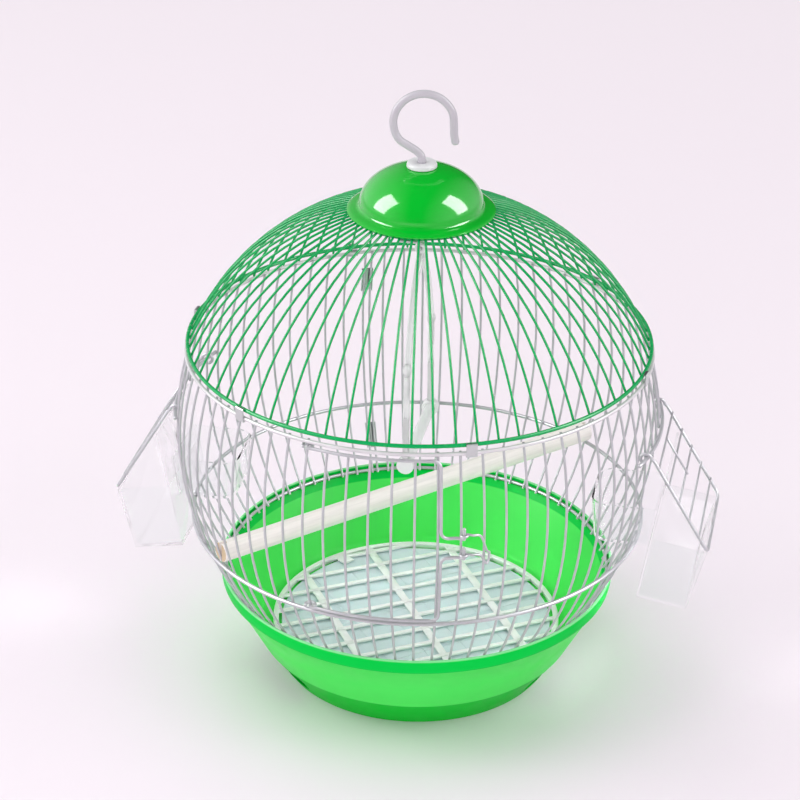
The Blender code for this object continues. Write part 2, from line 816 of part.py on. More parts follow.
def slot_cutter(name, middle):
    """Wedge that cuts a hand slot through the skirt."""
    bm = bmesh.new()
    start = middle - SLOT_WIDTH / 2.0
    steps = 12
    inner = TUB_FOOT_RADIUS * 0.9
    outer = TUB_FLOOR_RADIUS * 1.05
    section = [(inner, SLOT_LOW), (outer, SLOT_LOW), (outer, SLOT_HIGH), (inner, SLOT_HIGH)]
    rings = []
    for step in range(steps + 1):
        angle = start + SLOT_WIDTH * step / steps
        rings.append([bm.verts.new(at(angle, radius, height)) for radius, height in section])
    bm.faces.new(rings[0])
    bm.faces.new(rings[-1])
    for first, second in zip(rings, rings[1:]):
        for side in range(4):
            following = (side + 1) % 4
            bm.faces.new((first[side], first[following], second[following], second[side]))
    return keep(name, bm, "green_plastic")


def litter_tray():
    """Thin disc with a low rim on the tub's floor, and a small pull tab."""
    low = TUB_FLOOR_Z + GAP
    rim = low + TRAY_RIM
    profile = [
        (0.0, low),
        (TRAY_RADIUS - 0.001, low),
        (TRAY_RADIUS, low + 0.0005),
        (TRAY_RADIUS, rim),
        (TRAY_RADIUS - 0.0015, rim),
        (TRAY_RADIUS - 0.0022, low + TRAY_PLATE),
        (0.0, low + TRAY_PLATE),
    ]
    return keep("litter_tray", revolve(profile, 28), "white_plastic")


def floor_grate():
    """Ring on the tub's floor with thin bars one way and thick ones across."""
    low = TUB_FLOOR_Z + GAP
    plate_low = GRATE_TOP - GRATE_PLATE
    inner = GRATE_RADIUS - GRATE_RING
    profile = [
        (inner + 0.0006, low),
        (GRATE_RADIUS - 0.0008, low),
        (GRATE_RADIUS, low + 0.001),
        (GRATE_RADIUS, GRATE_TOP),
        (inner, GRATE_TOP),
    ]
    made = keep("floor_grate", revolve(profile, 32), "white_plastic")
    bars = []
    turned = Matrix.Rotation(math.radians(GRATE_TURN), 4, "Z")
    reach = GRATE_RADIUS - GRATE_RING / 2.0
    count = int(reach / BAR_PITCH - 0.2)
    for number in range(-count, count + 1):
        offset = number * BAR_PITCH
        half = math.sqrt(reach ** 2 - offset ** 2)
        height = (plate_low + GRATE_TOP) / 2.0 - 0.0001
        place = turned @ Matrix.Translation((0.0, offset, height))
        bar = block((2.0 * half, BAR_WIDTH, GRATE_PLATE - 0.0004), place)
        bars.append(keep("bar_%d" % (number + count), bar, "white_plastic"))
    for number in (-1, 0, 1):
        offset = number * CROSS_PITCH
        half = math.sqrt(reach ** 2 - offset ** 2)
        height = (plate_low + GRATE_TOP) / 2.0 - 0.0002
        place = turned @ Matrix.Translation((offset, 0.0, height))
        bar = block((CROSS_WIDTH, 2.0 * half, GRATE_PLATE - 0.001), place)
        bars.append(keep("cross_%d" % (number + 1), bar, "white_plastic"))
    tab_spot = at(-134.0, GRATE_RADIUS - 0.009, (plate_low + GRATE_TOP) / 2.0)
    tab_turn = Matrix.Rotation(math.radians(-134.0 + 8.0), 4, "Z")
    tab = block((0.0095, 0.013, GRATE_PLATE - 0.0007), Matrix.Translation(tab_spot) @ tab_turn)
    bars.append(keep("tab", tab, "white_plastic"))
    return combine(made, bars, "UNION")


def cap_seat():
    """Height of the dome's skin under the brim's edge."""
    reach = BRIM_RADIUS - DOME.centre_radius
    return DOME.centre_height + math.sqrt(DOME.radius ** 2 - reach ** 2)


def cap_shell():
    """Domed cap with a flared brim that sits on the dome's wires."""
    ring_top = DOME.point(DOME.lift(CROWN_Z))[1]
    brim_low = cap_seat() + GAP + 0.0003
    brim_in = ring_top + GAP + 0.0006
    profile = [
        (BRIM_RADIUS, brim_low),
        (BRIM_RADIUS + 0.0003, brim_low + BRIM_THICKNESS / 2.0),
        (BRIM_RADIUS - 0.0006, brim_low + BRIM_THICKNESS),
        (CAP_RADIUS + 0.0018, brim_in + BRIM_THICKNESS + 0.0006),
    ]
    base = brim_in + BRIM_THICKNESS + 0.0022
    rise = CAP_TOP - base
    inner_radius = CAP_RADIUS - CAP_WALL
    bore = HOOK_WIRE / 2.0 + SHANK_CLEARANCE
    profile += cap_curve(CAP_RADIUS, base, rise, 5)[:-1]
    profile += [(COLLAR_RADIUS, CAP_TOP), (bore, CAP_TOP), (bore, CAP_TOP - CAP_WALL)]
    profile += cap_curve(inner_radius, base, rise - CAP_WALL, 4)[-2:0:-1]
    profile += [(inner_radius, brim_in), (CAP_RING_RADIUS, brim_in)]
    return keep("cap_shell", revolve(profile, 28), "green_plastic")


def cap_curve(radius, base, rise, steps):
    """Points (radius, height) up the cap's dome, which ends flat under the washer."""
    last = math.radians(76.0)
    turns = [last * step / steps for step in range(steps + 1)]
    reach = rise / math.sin(last)
    return [(radius * math.cos(turn), base + reach * math.sin(turn)) for turn in turns]


def hook_collar():
    """White washer between the cap and the hook."""
    low = CAP_TOP + GAP
    bore = HOOK_WIRE / 2.0 + SHANK_CLEARANCE
    profile = [
        (bore, low),
        (COLLAR_RADIUS, low),
        (COLLAR_RADIUS - 0.0004, low + COLLAR_HEIGHT - 0.0006),
        (COLLAR_RADIUS - 0.0012, low + COLLAR_HEIGHT),
        (bore, low + COLLAR_HEIGHT),
    ]
    return keep("hook_collar", revolve(profile, 16), "white_plastic")


def clamp_top():
    """Height of the top of the bar under the dome's small ring."""
    lift = DOME.lift(CROWN_Z)
    return DOME.place(0.0, lift, 0.0, -HOOP).z - GAP


def clamp_bar():
    """Bar across the small ring, from which hook and swing hang."""
    top = clamp_top()
    length = 2.0 * (CAP_RING_RADIUS - 0.0006)
    place = Matrix.Translation((0.0, 0.0, top - CLAMP_PLATE / 2.0))
    made = keep("clamp_bar", block((CLAMP_WIDTH, length, CLAMP_PLATE), place), "steel")
    bore = HOOK_WIRE / 2.0 + SHANK_CLEARANCE
    hole = cylinder(bore, CLAMP_PLATE * 3.0, place, 16)
    return combine(made, [keep("clamp_bore", hole, "steel")], "DIFFERENCE")


def hook():
    """Hook of round wire: open loop, bent neck and a shank through the cap."""
    centre_z = CAP_TOP + HOOK_RISE - HOOK_WIRE / 2.0 - HOOK_LOOP
    tip_z = centre_z - HOOK_TIP_DROP
    centre_u = 0.0009
    right = centre_u + HOOK_LOOP
    points = [
        (right + 0.0011, tip_z),
        (right + 0.0001, tip_z + 0.0055),
        (right - 0.0001, (tip_z + 0.0055) * 0.4 + centre_z * 0.6),
    ]
    for angle in range(18, 217, 22):
        turn = math.radians(angle)
        rise = centre_z + HOOK_LOOP * math.sin(turn)
        points.append((centre_u + HOOK_LOOP * math.cos(turn), rise))
    neck = centre_z - HOOK_LOOP * math.sin(math.radians(36.0)) - COLLAR_TOP
    for across, share in ((0.47, 0.72), (0.21, 0.50), (0.04, 0.27), (0.0, 0.05)):
        points.append((-HOOK_LOOP * across, COLLAR_TOP + neck * share))
    points = smooth_curve(points, 2)
    points.append(Vector((0.0, clamp_top() - CLAMP_PLATE - NUT_HEIGHT - 0.0012)))
    path = [sideways(HOOK_TURN) * u + Vector((0.0, 0.0, z)) for u, z in points]
    made = keep("hook", rod(path, HOOK_WIRE / 2.0, 8), "grey_plastic", 60.0)
    move_origin(made, (0.0, 0.0, COLLAR_TOP))
    return made


def hook_nut():
    """Hexagonal nut on the shank under the clamp bar."""
    top = clamp_top() - CLAMP_PLATE - GAP
    place = Matrix.Translation((0.0, 0.0, top - NUT_HEIGHT / 2.0))
    turned = place @ Matrix.Rotation(math.radians(30.0), 4, "Z")
    made = keep("hook_nut", cylinder(NUT_WIDTH / math.sqrt(3.0), NUT_HEIGHT, turned, 6), "steel")
    bore = cylinder(HOOK_WIRE / 2.0 + SHANK_CLEARANCE, NUT_HEIGHT * 3.0, place, 16)
    return combine(made, [keep("nut_bore", bore, "steel")], "DIFFERENCE")


def swing_hanger():
    """Staple under the clamp bar, its level part the swing's pivot."""
    top = clamp_top() - CLAMP_PLATE - GAP
    corners = [
        (0.0, -HANGER_SPREAD, top),
        (0.0, -HANGER_SPREAD, SWING_PIVOT_Z),
        (0.0, HANGER_SPREAD, SWING_PIVOT_Z),
        (0.0, HANGER_SPREAD, top),
    ]
    path = round_corners(corners, 0.002, 2)
    return keep("swing_hanger", rod(path, HANGER_WIRE / 2.0, 8), "steel", 60.0)


def strip(points, width):
    """Outline of a strip of even width along a row of points in a plane."""
    left = []
    right = []
    for index, point in enumerate(points):
        before = Vector(points[max(index - 1, 0)])
        after = Vector(points[min(index + 1, len(points) - 1)])
        here = Vector(point)
        arriving = (here - before).normalized() if index else (after - here).normalized()
        leaving = (after - here).normalized() if index < len(points) - 1 else arriving
        heading = (arriving + leaving).normalized()
        normal = Vector((-heading.y, heading.x))
        stretch = 1.0 / max(0.5, heading.dot(arriving))
        left.append(here + normal * width / 2.0 * stretch)
        right.append(here - normal * width / 2.0 * stretch)
    return [tuple(point) for point in left + right[::-1]]


def swing_frame():
    """Yoke of the swing: an eye at the top, two arms and a socket at each foot."""
    plane = frame_at((0.0, 0.0, 0.0), (0.0, 1.0, 0.0), (0.0, 0.0, 1.0), (1.0, 0.0, 0.0))
    drop = HANGER_WIRE + SWING_EYE
    knee_z = SWING_SHOULDER_Z + SHOULDER_DROP * 0.62
    foot_z = SWING_PERCH_Z + SWING_FOOT_SIZE * 0.3
    arm = [
        (SWING_SHOULDER * 0.55, knee_z),
        (SWING_SHOULDER, SWING_SHOULDER_Z),
        (SWING_FOOT, foot_z),
    ]
    points = [(-y, z) for y, z in arm[::-1]] + [(0.0, SWING_PIVOT_Z - drop)] + arm
    half = SWING_THICKNESS / 2.0
    outline = strip(points, SWING_STRIP)
    made = keep("swing_frame", extrude_outline(outline, -half, half, plane), "white_plastic")
    parts = []
    along = Matrix.Rotation(math.radians(90.0), 4, "X")
    head = Matrix.Translation((0.0, 0.0, SWING_PIVOT_Z)) @ along
    parts.append(cylinder(SWING_EYE, SWING_STRIP, head, 14))
    stem = Matrix.Translation((0.0, 0.0, SWING_PIVOT_Z - drop * 0.62))
    parts.append(block((SWING_THICKNESS * 0.9, SWING_STRIP * 0.8, drop * 0.9), stem))
    for side in (-1.0, 1.0):
        foot = Matrix.Translation((0.0, side * SWING_FOOT, SWING_PERCH_Z)) @ along
        parts.append(cylinder(SWING_FOOT_SIZE / 2.0, SWING_STRIP * 1.35, foot, 12))
        pad_z = SWING_SHOULDER_Z - PAD_HEIGHT / 2.0
        pad = Matrix.Translation((0.0, side * SWING_SHOULDER, pad_z))
        parts.append(block((SWING_THICKNESS * 0.8, PAD_WIDTH, PAD_HEIGHT), pad))
    combine(made, keep_all("swing_part", parts, "white_plastic"), "UNION")
    holes = [cylinder(HANGER_WIRE / 2.0 + GAP, SWING_STRIP * 3.0, head, 12)]
    for side in (-1.0, 1.0):
        inner = SWING_FOOT - SWING_STRIP * 0.675
        socket = Matrix.Translation((0.0, side * (inner + 0.0005), SWING_PERCH_Z)) @ along
        holes.append(cylinder(SWING_PERCH / 2.0 + GAP, 0.008, socket, 12))
    combine(made, keep_all("swing_hole", holes, "white_plastic"), "DIFFERENCE")
    move_origin(made, (0.0, 0.0, SWING_PIVOT_Z))
    return made


def swing_perch():
    """Moulded bar between the sockets of the swing's feet."""
    inner = SWING_FOOT - SWING_STRIP * 0.675
    length = 2.0 * (inner + 0.0045 - GAP)
    along = Matrix.Rotation(math.radians(90.0), 4, "X")
    place = Matrix.Translation((0.0, 0.0, SWING_PERCH_Z)) @ along
    return keep("swing_perch", cylinder(SWING_PERCH / 2.0, length, place, 12), "white_plastic")


def perch():
    """Dowel across the cage, notched over an upright wire at each end."""
    left, right = (wire * PITCH for wire in PERCH_WIRES)
    out = -WIRE_DEPTH / 2.0
    first = on_barrel(left, PERCH_Z, out)
    last = on_barrel(right, PERCH_Z, out)
    heading = (last - first).normalized()
    back = PERCH_NOTCH * 0.5
    length = (last - first).length + 2.0 * back - 2.0 * WIRE - 0.004
    across = Vector((0.0, 0.0, 1.0)).cross(heading)
    centre = (first + last) / 2.0
    place = frame_at(centre, across, Vector((0.0, 0.0, 1.0)), heading)
    made = keep("perch", cylinder(PERCH / 2.0, length, place, 16), "pale_wood")
    slots = []
    for number, (end, angle) in enumerate(((first, left), (last, right))):
        inward = -outward(angle)
        spot = end + inward * (PERCH_NOTCH / 2.0 - WIRE_DEPTH)
        turned = frame_at(spot, sideways(angle), inward, Vector((0.0, 0.0, 1.0)))
        cut = block((WIRE + 4.0 * GAP, PERCH_NOTCH + 0.004, PERCH * 2.0), turned)
        slots.append(keep("notch_%d" % number, cut, "pale_wood"))
    return combine(made, slots, "DIFFERENCE")


def ring_clips():
    """Folded clips round the green ring and the body's top hoop."""
    made = []
    inner = max(BARREL.across(TOP_HOOP_Z), DOME_FOOT_RADIUS) + HOOP_DEPTH + GAP
    outer = inner + CLIP_PLATE
    low = TOP_HOOP_Z - HOOP / 2.0 - GAP
    high = RING_Z + HOOP / 2.0 + GAP
    lip = inner - CLIP_LIP
    outline = [
        (outer, low - CLIP_PLATE),
        (outer, high + CLIP_PLATE),
        (lip, high + CLIP_PLATE),
        (lip, high),
        (inner, high),
        (inner, low),
        (lip, low),
        (lip, low - CLIP_PLATE),
    ]
    for number in range(CLIP_COUNT):
        angle = CLIP_START + CLIP_STEP * number
        place = frame_at((0.0, 0.0, 0.0), outward(angle), (0.0, 0.0, 1.0), sideways(angle))
        half = CLIP_WIDTH / 2.0
        solid = extrude_outline(outline, -half, half, place)
        made.append(keep("ring_clip_%d" % (number + 1), solid, "steel"))
    return made


def seam_crimp(node, height):
    """Folded sleeve over the two wires of the seam, open to the inside."""
    angle = seam_wire() * PITCH - SEAM_SIDE_STEP / 2.0
    lift = BARREL.lift(height)
    spread = math.radians(SEAM_SIDE_STEP) * BARREL.across(height)
    half = (spread + WIRE) / 2.0 + 0.0006
    near = 0.0007
    far = near + CRIMP_PLATE
    deep = -WIRE_DEPTH * 0.75
    outline = [
        (half + CRIMP_PLATE, far),
        (-half - CRIMP_PLATE, far),
        (-half - CRIMP_PLATE, deep),
        (-half, deep),
        (-half, near),
        (half, near),
        (half, deep),
        (half + CRIMP_PLATE, deep),
    ]
    normal = outward(angle) * math.cos(lift) + Vector((0.0, 0.0, math.sin(lift)))
    along = Vector((0.0, 0.0, math.cos(lift))) - outward(angle) * math.sin(lift)
    place = frame_at(BARREL.place(angle, lift), sideways(angle), normal, along)
    reach = CRIMP_HEIGHT / 2.0
    return keep(node, extrude_outline(outline, -reach, reach, place), "steel")


def door_heights():
    """Heights of the door's lower and upper wires."""
    low = LOWER_HOOP_Z + HOOP / 2.0 + DOOR_WIRE / 2.0 + 2.0 * GAP
    high = TOP_HOOP_Z - HOOP / 2.0 - DOOR_WIRE / 2.0 - DOOR_TOP_DROP + 0.001
    return low, high


def door_out():
    """How far the door's frame wire lies off the body's skin."""
    return DOOR_WIRE / 2.0 + GAP


def pin_place(height):
    """Point on the upright axis of the latch's two pins."""
    return at(PIN_ANGLE, BARREL_RADIUS + PIN_OUT, height)


def on_skin(flat, out):
    """Turn (length round the skin, height) points into points beside the body."""
    points = []
    for length, height in flat:
        angle = math.degrees(length / BARREL_RADIUS)
        points.append(on_barrel(angle, height, out))
    return points


def front_door():
    """Wire door with eyes round a cage wire and two pins for its latch."""
    low, high = door_heights()
    out = door_out()
    edge = math.radians(DOOR_HINGE_WIRE * PITCH) * BARREL_RADIUS
    side = edge + WIRE / 2.0 + DOOR_WIRE * 0.4
    pin = math.radians(PIN_ANGLE) * BARREL_RADIUS
    hinge = -DOOR_HINGE_WIRE * PITCH
    halves = []
    for level, stub in ((low, STUB_LOW_Z), (high, STUB_HIGH_Z)):
        flat = [(-edge + DOOR_CORNER, level), (side, level), (side, stub), (pin, stub)]
        path = on_skin(subdivide(round_corners(flat, DOOR_CORNER, 3), 0.026), out)
        pin_foot = pin_place(stub)
        lead = path[-1].lerp(path[-2], 0.3)
        path[-1] = lead.lerp(pin_foot, 0.5)
        path.append(pin_foot + Vector((0.0, 0.0, 0.0006)))
        path.append(pin_foot + Vector((0.0, 0.0, 0.0022)))
        path.append(pin_foot + Vector((0.0, 0.0, PIN_HEIGHT)))
        centre = on_barrel(hinge, level, -WIRE_DEPTH / 2.0)
        start = outward(hinge) + sideways(hinge) * DOOR_EYE_LEAD
        ring = eye(centre, (0.0, 0.0, 1.0), start, DOOR_EYE, 300.0, 8)
        path = ring[::-1] + path
        halves.append(rod(path, DOOR_WIRE / 2.0, 5))
    made = keep("front_door", halves[0], "white_wire", 60.0)
    others = [keep("door_upper", halves[1], "white_wire", 60.0)]
    depth = out - (DOOR_WIRE + WIRE) / 2.0 + 0.0005
    for wire in range(-DOOR_HINGE_WIRE + 1, DOOR_HINGE_WIRE):
        points = []
        for step in range(5):
            height = low - 0.0003 + (high - low + 0.0006) * step / 4.0
            points.append(on_barrel(wire * PITCH, height, depth))
        upright = rod(points, WIRE / 2.0, 4)
        others.append(keep("door_wire_%d" % (wire + DOOR_HINGE_WIRE), upright, "white_wire"))
    combine(made, others, "UNION")
    move_origin(made, on_barrel(hinge, low, -WIRE_DEPTH / 2.0))
    return made


def door_latch():
    """Wire tongue on the door's pins, with its bend over the next cage wire."""
    radius = DOOR_WIRE / 2.0 + GAP + LATCH_WIRE / 2.0
    middle = (PIN_ANGLE + LATCH_TIP_ANGLE) / 2.0
    start = outward(PIN_ANGLE) * -LATCH_EYE_LEAD - sideways(PIN_ANGLE)
    ends = []
    for stub in (STUB_HIGH_Z, STUB_LOW_Z):
        height = stub + DOOR_WIRE / 2.0 + LATCH_WIRE / 2.0 + GAP + 0.0012
        ring = eye(pin_place(height), (0.0, 0.0, 1.0), start, radius, 255.0, 8)
        ends.append(ring + [at(PIN_ANGLE + 1.9, BARREL_RADIUS + PIN_OUT + 0.0008, height)])
    upper, lower = ends
    tip = [
        on_barrel(middle + 0.7, STUB_HIGH_Z + 0.0012, 0.0036),
        on_barrel(LATCH_TIP_ANGLE - 0.9, LATCH_TIP_Z + 0.0055, 0.0022),
        on_barrel(LATCH_TIP_ANGLE - 0.1, LATCH_TIP_Z + 0.0028, 0.0002),
        on_barrel(LATCH_TIP_ANGLE, LATCH_TIP_Z, -0.0003),
        on_barrel(LATCH_TIP_ANGLE - 0.1, LATCH_TIP_Z - 0.0028, 0.0002),
        on_barrel(LATCH_TIP_ANGLE - 0.9, LATCH_TIP_Z - 0.0050, 0.0022),
        on_barrel(middle + 0.7, STUB_LOW_Z + 0.0016, 0.0036),
    ]
    wire = rod(upper + tip + lower[::-1], LATCH_WIRE / 2.0, 5)
    made = keep("door_latch", wire, "white_wire", 60.0)
    move_origin(made, pin_place(STUB_LOW_Z))
    return made


def box_point(out, up):
    """Point in the plane of the feeder's tilt: outward and upward from the box's top."""
    tilt = math.radians(BOX_TILT)
    x = BOX_TOP_X + out * math.cos(tilt) + up * math.sin(tilt)
    z = BOX_TOP_Z - out * math.sin(tilt) + up * math.cos(tilt)
    return x, z


def feeder_matrix(side):
    """Matrix that stands an (x, z) outline in the plane across a feeder."""
    return frame_at(
        (0.0, 0.0, 0.0),
        Vector((side, 0.0, 0.0)),
        Vector((0.0, 0.0, 1.0)),
        Vector((0.0, -side, 0.0)),
    )


def feeder_box(node, side):
    """Clear outer box with a back plate that stands in the opening."""
    outer = [
        box_point(BOX_DEPTH - BOX_TAPER, -BOX_HEIGHT),
        box_point(BOX_DEPTH, 0.0),
        box_point(BOX_WALL, 0.0),
        box_point(BOX_WALL, BOX_BACK),
        box_point(0.0, BOX_BACK),
        box_point(0.0, -BOX_HEIGHT),
    ]
    inner = [
        box_point(BOX_DEPTH - BOX_TAPER - BOX_WALL, BOX_WALL - BOX_HEIGHT),
        box_point(BOX_DEPTH - BOX_WALL, BOX_WALL),
        box_point(BOX_WALL * 1.0001, BOX_WALL),
        box_point(BOX_WALL * 1.0001, BOX_WALL - BOX_HEIGHT),
    ]
    place = feeder_matrix(side)
    made = keep(node, extrude_outline(outer, -BOX_HALF, BOX_HALF, place), "clear_plastic")
    half = BOX_HALF - BOX_WALL
    cavity = keep(node + "_cavity", extrude_outline(inner, -half, half, place), "clear_plastic")
    return combine(made, [cavity], "DIFFERENCE")


def feeder_cup(node, side):
    """Clear trough inside the cage, with rounded corners, against the box's plate."""
    low = LOWER_HOOP_Z + HOOP / 2.0 + 2.0 * GAP
    tilt = math.tan(math.radians(BOX_TILT))

    def back(height):
        return BOX_TOP_X + (height - BOX_TOP_Z) * tilt - GAP

    shapes = []
    for wall, base, top in ((0.0, low, CUP_TOP), (CUP_WALL, low + CUP_WALL, CUP_TOP + 0.004)):
        slant = (CUP_TOP - low) * 0.09
        front_low = CUP_REACH + slant + wall
        front_top = CUP_REACH + wall - slant * (top - CUP_TOP) / (CUP_TOP - low)
        outline = [
            (front_low, base),
            (back(base) - wall, base),
            (back(top) - wall, top),
            (front_top, top),
        ]
        half = CUP_HALF - wall
        bm = extrude_outline(outline, -half, half, Matrix.Identity(4))
        corners = []
        for edge in bm.edges:
            first, second = edge.verts
            upright = abs(first.co.z - second.co.z) < 1e-6
            near_front = max(first.co.x, second.co.x) < CUP_REACH + 0.02
            if upright and near_front:
                corners.append(edge)
        reach = CUP_CORNER - wall
        bmesh.ops.bevel(bm, geom=corners, offset=reach, segments=3, affect="EDGES", profile=0.5)
        bm.transform(feeder_matrix(side))
        shapes.append(bm)
    made = keep(node, shapes[0], "clear_plastic")
    cavity = keep(node + "_cavity", shapes[1], "clear_plastic")
    return combine(made, [cavity], "DIFFERENCE")


def flap_line():
    """Shoulder and foot of the flap's side wires, as (x, z) points."""
    shoulder = (FLAP_SHOULDER_X, HEADER_Z - 0.0015)
    corner = box_point(BOX_DEPTH, 0.0)
    foot = (corner[0] + 0.0004, corner[1] + FLAP_WIRE / 2.0 + GAP + 0.0004)
    return shoulder, foot


def hinge_x():
    """Distance of the flaps' hinge axis from the middle of the cage."""
    skin = BARREL.across(HEADER_Z) + HOOP_DEPTH * 0.35
    return math.sqrt(skin ** 2 - FLAP_HALF ** 2)


def feeder_flap(node, side):
    """Wire flap over a feeder box, hinged on the bar above the opening."""
    (shoulder_x, shoulder_z), (foot_x, foot_z) = flap_line()
    axis_x = hinge_x()
    half = FLAP_HALF
    route = [
        (shoulder_x, half, shoulder_z),
        (foot_x, half, foot_z),
        (foot_x, -half, foot_z),
        (shoulder_x, -half, shoulder_z),
    ]
    middle = round_corners(route, 0.006, 3)
    ends = []
    for end in (1.0, -1.0):
        centre = Vector((axis_x, end * half, HEADER_Z))
        ring = eye(centre, (0.0, 1.0, 0.0), (-0.3, 0.0, -1.0), FLAP_EYE, 250.0, 7)
        ends.append(ring)
    path = ends[0] + middle + ends[1][::-1]
    turned = Matrix.Diagonal((side, side, 1.0, 1.0))
    frame_wire = rod([turned @ point for point in path], FLAP_WIRE / 2.0, 5)
    made = keep(node, frame_wire, "white_wire", 60.0)
    slope = Vector((foot_x - shoulder_x, 0.0, foot_z - shoulder_z))
    upper = Vector((-slope.z, 0.0, slope.x)).normalized()
    start = Vector((shoulder_x, 0.0, shoulder_z)) + upper * (FLAP_WIRE / 2.0 - FLAP_CROSS * 0.1)
    pitch = 1.0 / (FLAP_CROSSES + 0.35)
    reach = Vector((0.0, half + 0.0004, 0.0))
    bars = []
    for number in range(FLAP_CROSSES):
        spot = start + slope * pitch * (number + FLAP_CROSS_LEAD)
        ends = [turned @ (spot + reach), turned @ (spot - reach)]
        bars.append(rod(ends, FLAP_CROSS / 2.0, 5))
    above = start + upper * FLAP_CROSS * 0.6
    stay = [above + slope * pitch * (turn + FLAP_CROSS_LEAD) for turn in (-0.02, 2.06)]
    bars.append(rod([turned @ point for point in stay], FLAP_CROSS / 2.0, 5))
    combine(made, keep_all(node + "_bar", bars, "white_wire"), "UNION")
    move_origin(made, (side * axis_x, 0.0, HEADER_Z))
    return made


def build():
    """Make every piece and hang each on what carries it."""
    clear_scene()
    carrier = bpy.data.objects.new("cage_mount", None)
    carrier.location = (0.0, 0.0, LEDGE_Z)
    bpy.context.scene.collection.objects.link(carrier)
    base = tub()
    tray = litter_tray()
    grate = floor_grate()
    parent_to(tray, base)
    parent_to(grate, tray)
    parent_to(carrier, base)
    fixed = [body_panel(name, *row) for name, row in body_panels().items()]
    half = WIRE_COUNT // 2
    for number, row in enumerate(shares(1 - half, WIRE_COUNT - half, DOME_PANELS)):
        fixed.append(dome_panel("dome_panel_%d" % (number + 1), *row))
    fixed += [
        cap_shell(),
        hook_collar(),
        clamp_bar(),
        swing_hanger(),
        perch(),
        seam_crimp("seam_crimp_upper", CRIMP_HIGH_Z),
        seam_crimp("seam_crimp_lower", CRIMP_LOW_Z),
    ]
    fixed += ring_clips()
    for piece in fixed:
        parent_to(piece, carrier)
    turning = hook()
    parent_to(turning, carrier)
    parent_to(hook_nut(), turning)
    yoke = swing_frame()
    parent_to(yoke, carrier)
    parent_to(swing_perch(), yoke)
    door = front_door()
    parent_to(door, carrier)
    parent_to(door_latch(), door)
    for name, side in (("left", -1.0), ("right", 1.0)):
        box = feeder_box("feeder_box_" + name, side)
        parent_to(box, carrier)
        parent_to(feeder_cup("feeder_cup_" + name, side), box)
        parent_to(feeder_flap("feeder_flap_" + name, side), carrier)


build()
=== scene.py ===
"""Looks of a round wire bird cage with a moulded tub, a domed top and a hanging hook.

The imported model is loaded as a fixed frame, in metres, and every operator below models
or dresses one piece, or one group of like pieces, around it.
"""

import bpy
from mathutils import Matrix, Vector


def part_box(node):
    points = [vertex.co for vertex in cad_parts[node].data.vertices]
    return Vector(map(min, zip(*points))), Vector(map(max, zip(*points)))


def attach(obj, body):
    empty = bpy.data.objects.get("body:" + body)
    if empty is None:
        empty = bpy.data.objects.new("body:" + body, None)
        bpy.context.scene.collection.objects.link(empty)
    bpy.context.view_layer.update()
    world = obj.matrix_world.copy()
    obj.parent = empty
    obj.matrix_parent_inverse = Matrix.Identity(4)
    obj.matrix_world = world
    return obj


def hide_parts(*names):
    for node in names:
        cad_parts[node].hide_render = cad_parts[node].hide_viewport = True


bl_info = {
    "name": "Wire Bird Cage",
    "version": (1, 0, 0),
    "blender": (4, 5, 0),
    "location": "View3D > Sidebar > Bird Cage",
    "description": "Models and dresses a round wire bird cage and its stage",
    "category": "Object",
}

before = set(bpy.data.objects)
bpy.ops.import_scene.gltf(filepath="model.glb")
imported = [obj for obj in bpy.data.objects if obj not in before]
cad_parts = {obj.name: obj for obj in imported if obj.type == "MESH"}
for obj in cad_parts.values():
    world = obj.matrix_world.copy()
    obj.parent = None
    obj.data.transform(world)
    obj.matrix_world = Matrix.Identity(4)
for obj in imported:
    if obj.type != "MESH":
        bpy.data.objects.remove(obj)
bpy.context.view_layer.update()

import math

import bmesh
import bpy
from bpy.props import FloatProperty, FloatVectorProperty, PointerProperty
from mathutils import Matrix, Vector

# Lengths are in metres, and angles are in degrees where math.radians isn't named.
GAP = 0.0003

# The uprights stand on even places round the axis, numbered from the door's middle.
WIRE_COUNT = 70
PITCH = 360.0 / WIRE_COUNT
HALF_COUNT = WIRE_COUNT // 2
WIRE_NUMBERS = range(1 - HALF_COUNT, WIRE_COUNT - HALF_COUNT + 1)
DOOR_WIRES = 3
FEEDER_FIRST = 15
FEEDER_LAST = 20
SEAM_WIRE = -30
SEAM_STEP = 1.7
DOME_TURN = -1.0

# The body is a barrel, widest at the belly and one step narrower at the neck.
SKIN_RADIUS = 0.1754
NECK_STEP = 0.0113
BELLY_Z = 0.193
NECK_DROP = 0.068
SKIN_CURVE = (NECK_DROP ** 2 + NECK_STEP ** 2) / (2.0 * NECK_STEP)
BOTTOM_HOOP_Z = 0.0778
LOWER_HOOP_Z = 0.125
HEADER_Z = 0.206
TOP_HOOP_Z = 0.2565

# The dome stands on the green ring and closes on the small ring under the cap.
RING_Z = 0.262
CROWN_Z = RING_Z + 0.0992
DOME_CURVE = 0.178
CAP_RING_RADIUS = 0.0485

# Wires and hoops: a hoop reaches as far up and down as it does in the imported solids.
WIRE = 0.0018
HOOP = 0.0028
HOOP_OUT = 0.0013
HOOP_REACH = 0.0015
WELD = 0.0001

# A rounded wire end: shares of its length, and the width of the wire at each.
WIRE_END_LENGTH = 0.6
WIRE_END_STEPS = ((0.72, 0.70), (1.0, 0.28))
STEEP_HEADING = 0.8

# Tolerances: a point on the axis, points that merge, and a level edge.
ON_AXIS = 1e-9
MERGE_GAP = 1e-7
LEVEL = 1e-6

# Angles between two faces from which their edge stays sharp.
SHARP = 35.0
CURVED_SHARP = 40.0
CARVED_SHARP = 50.0
ROD_SHARP = 60.0
WIRE_SHARP = 80.0


def at(angle, radius, height):
    """Point at an angle in degrees from the door, positive towards +X."""
    turn = math.radians(angle)
    return Vector((radius * math.sin(turn), -radius * math.cos(turn), height))


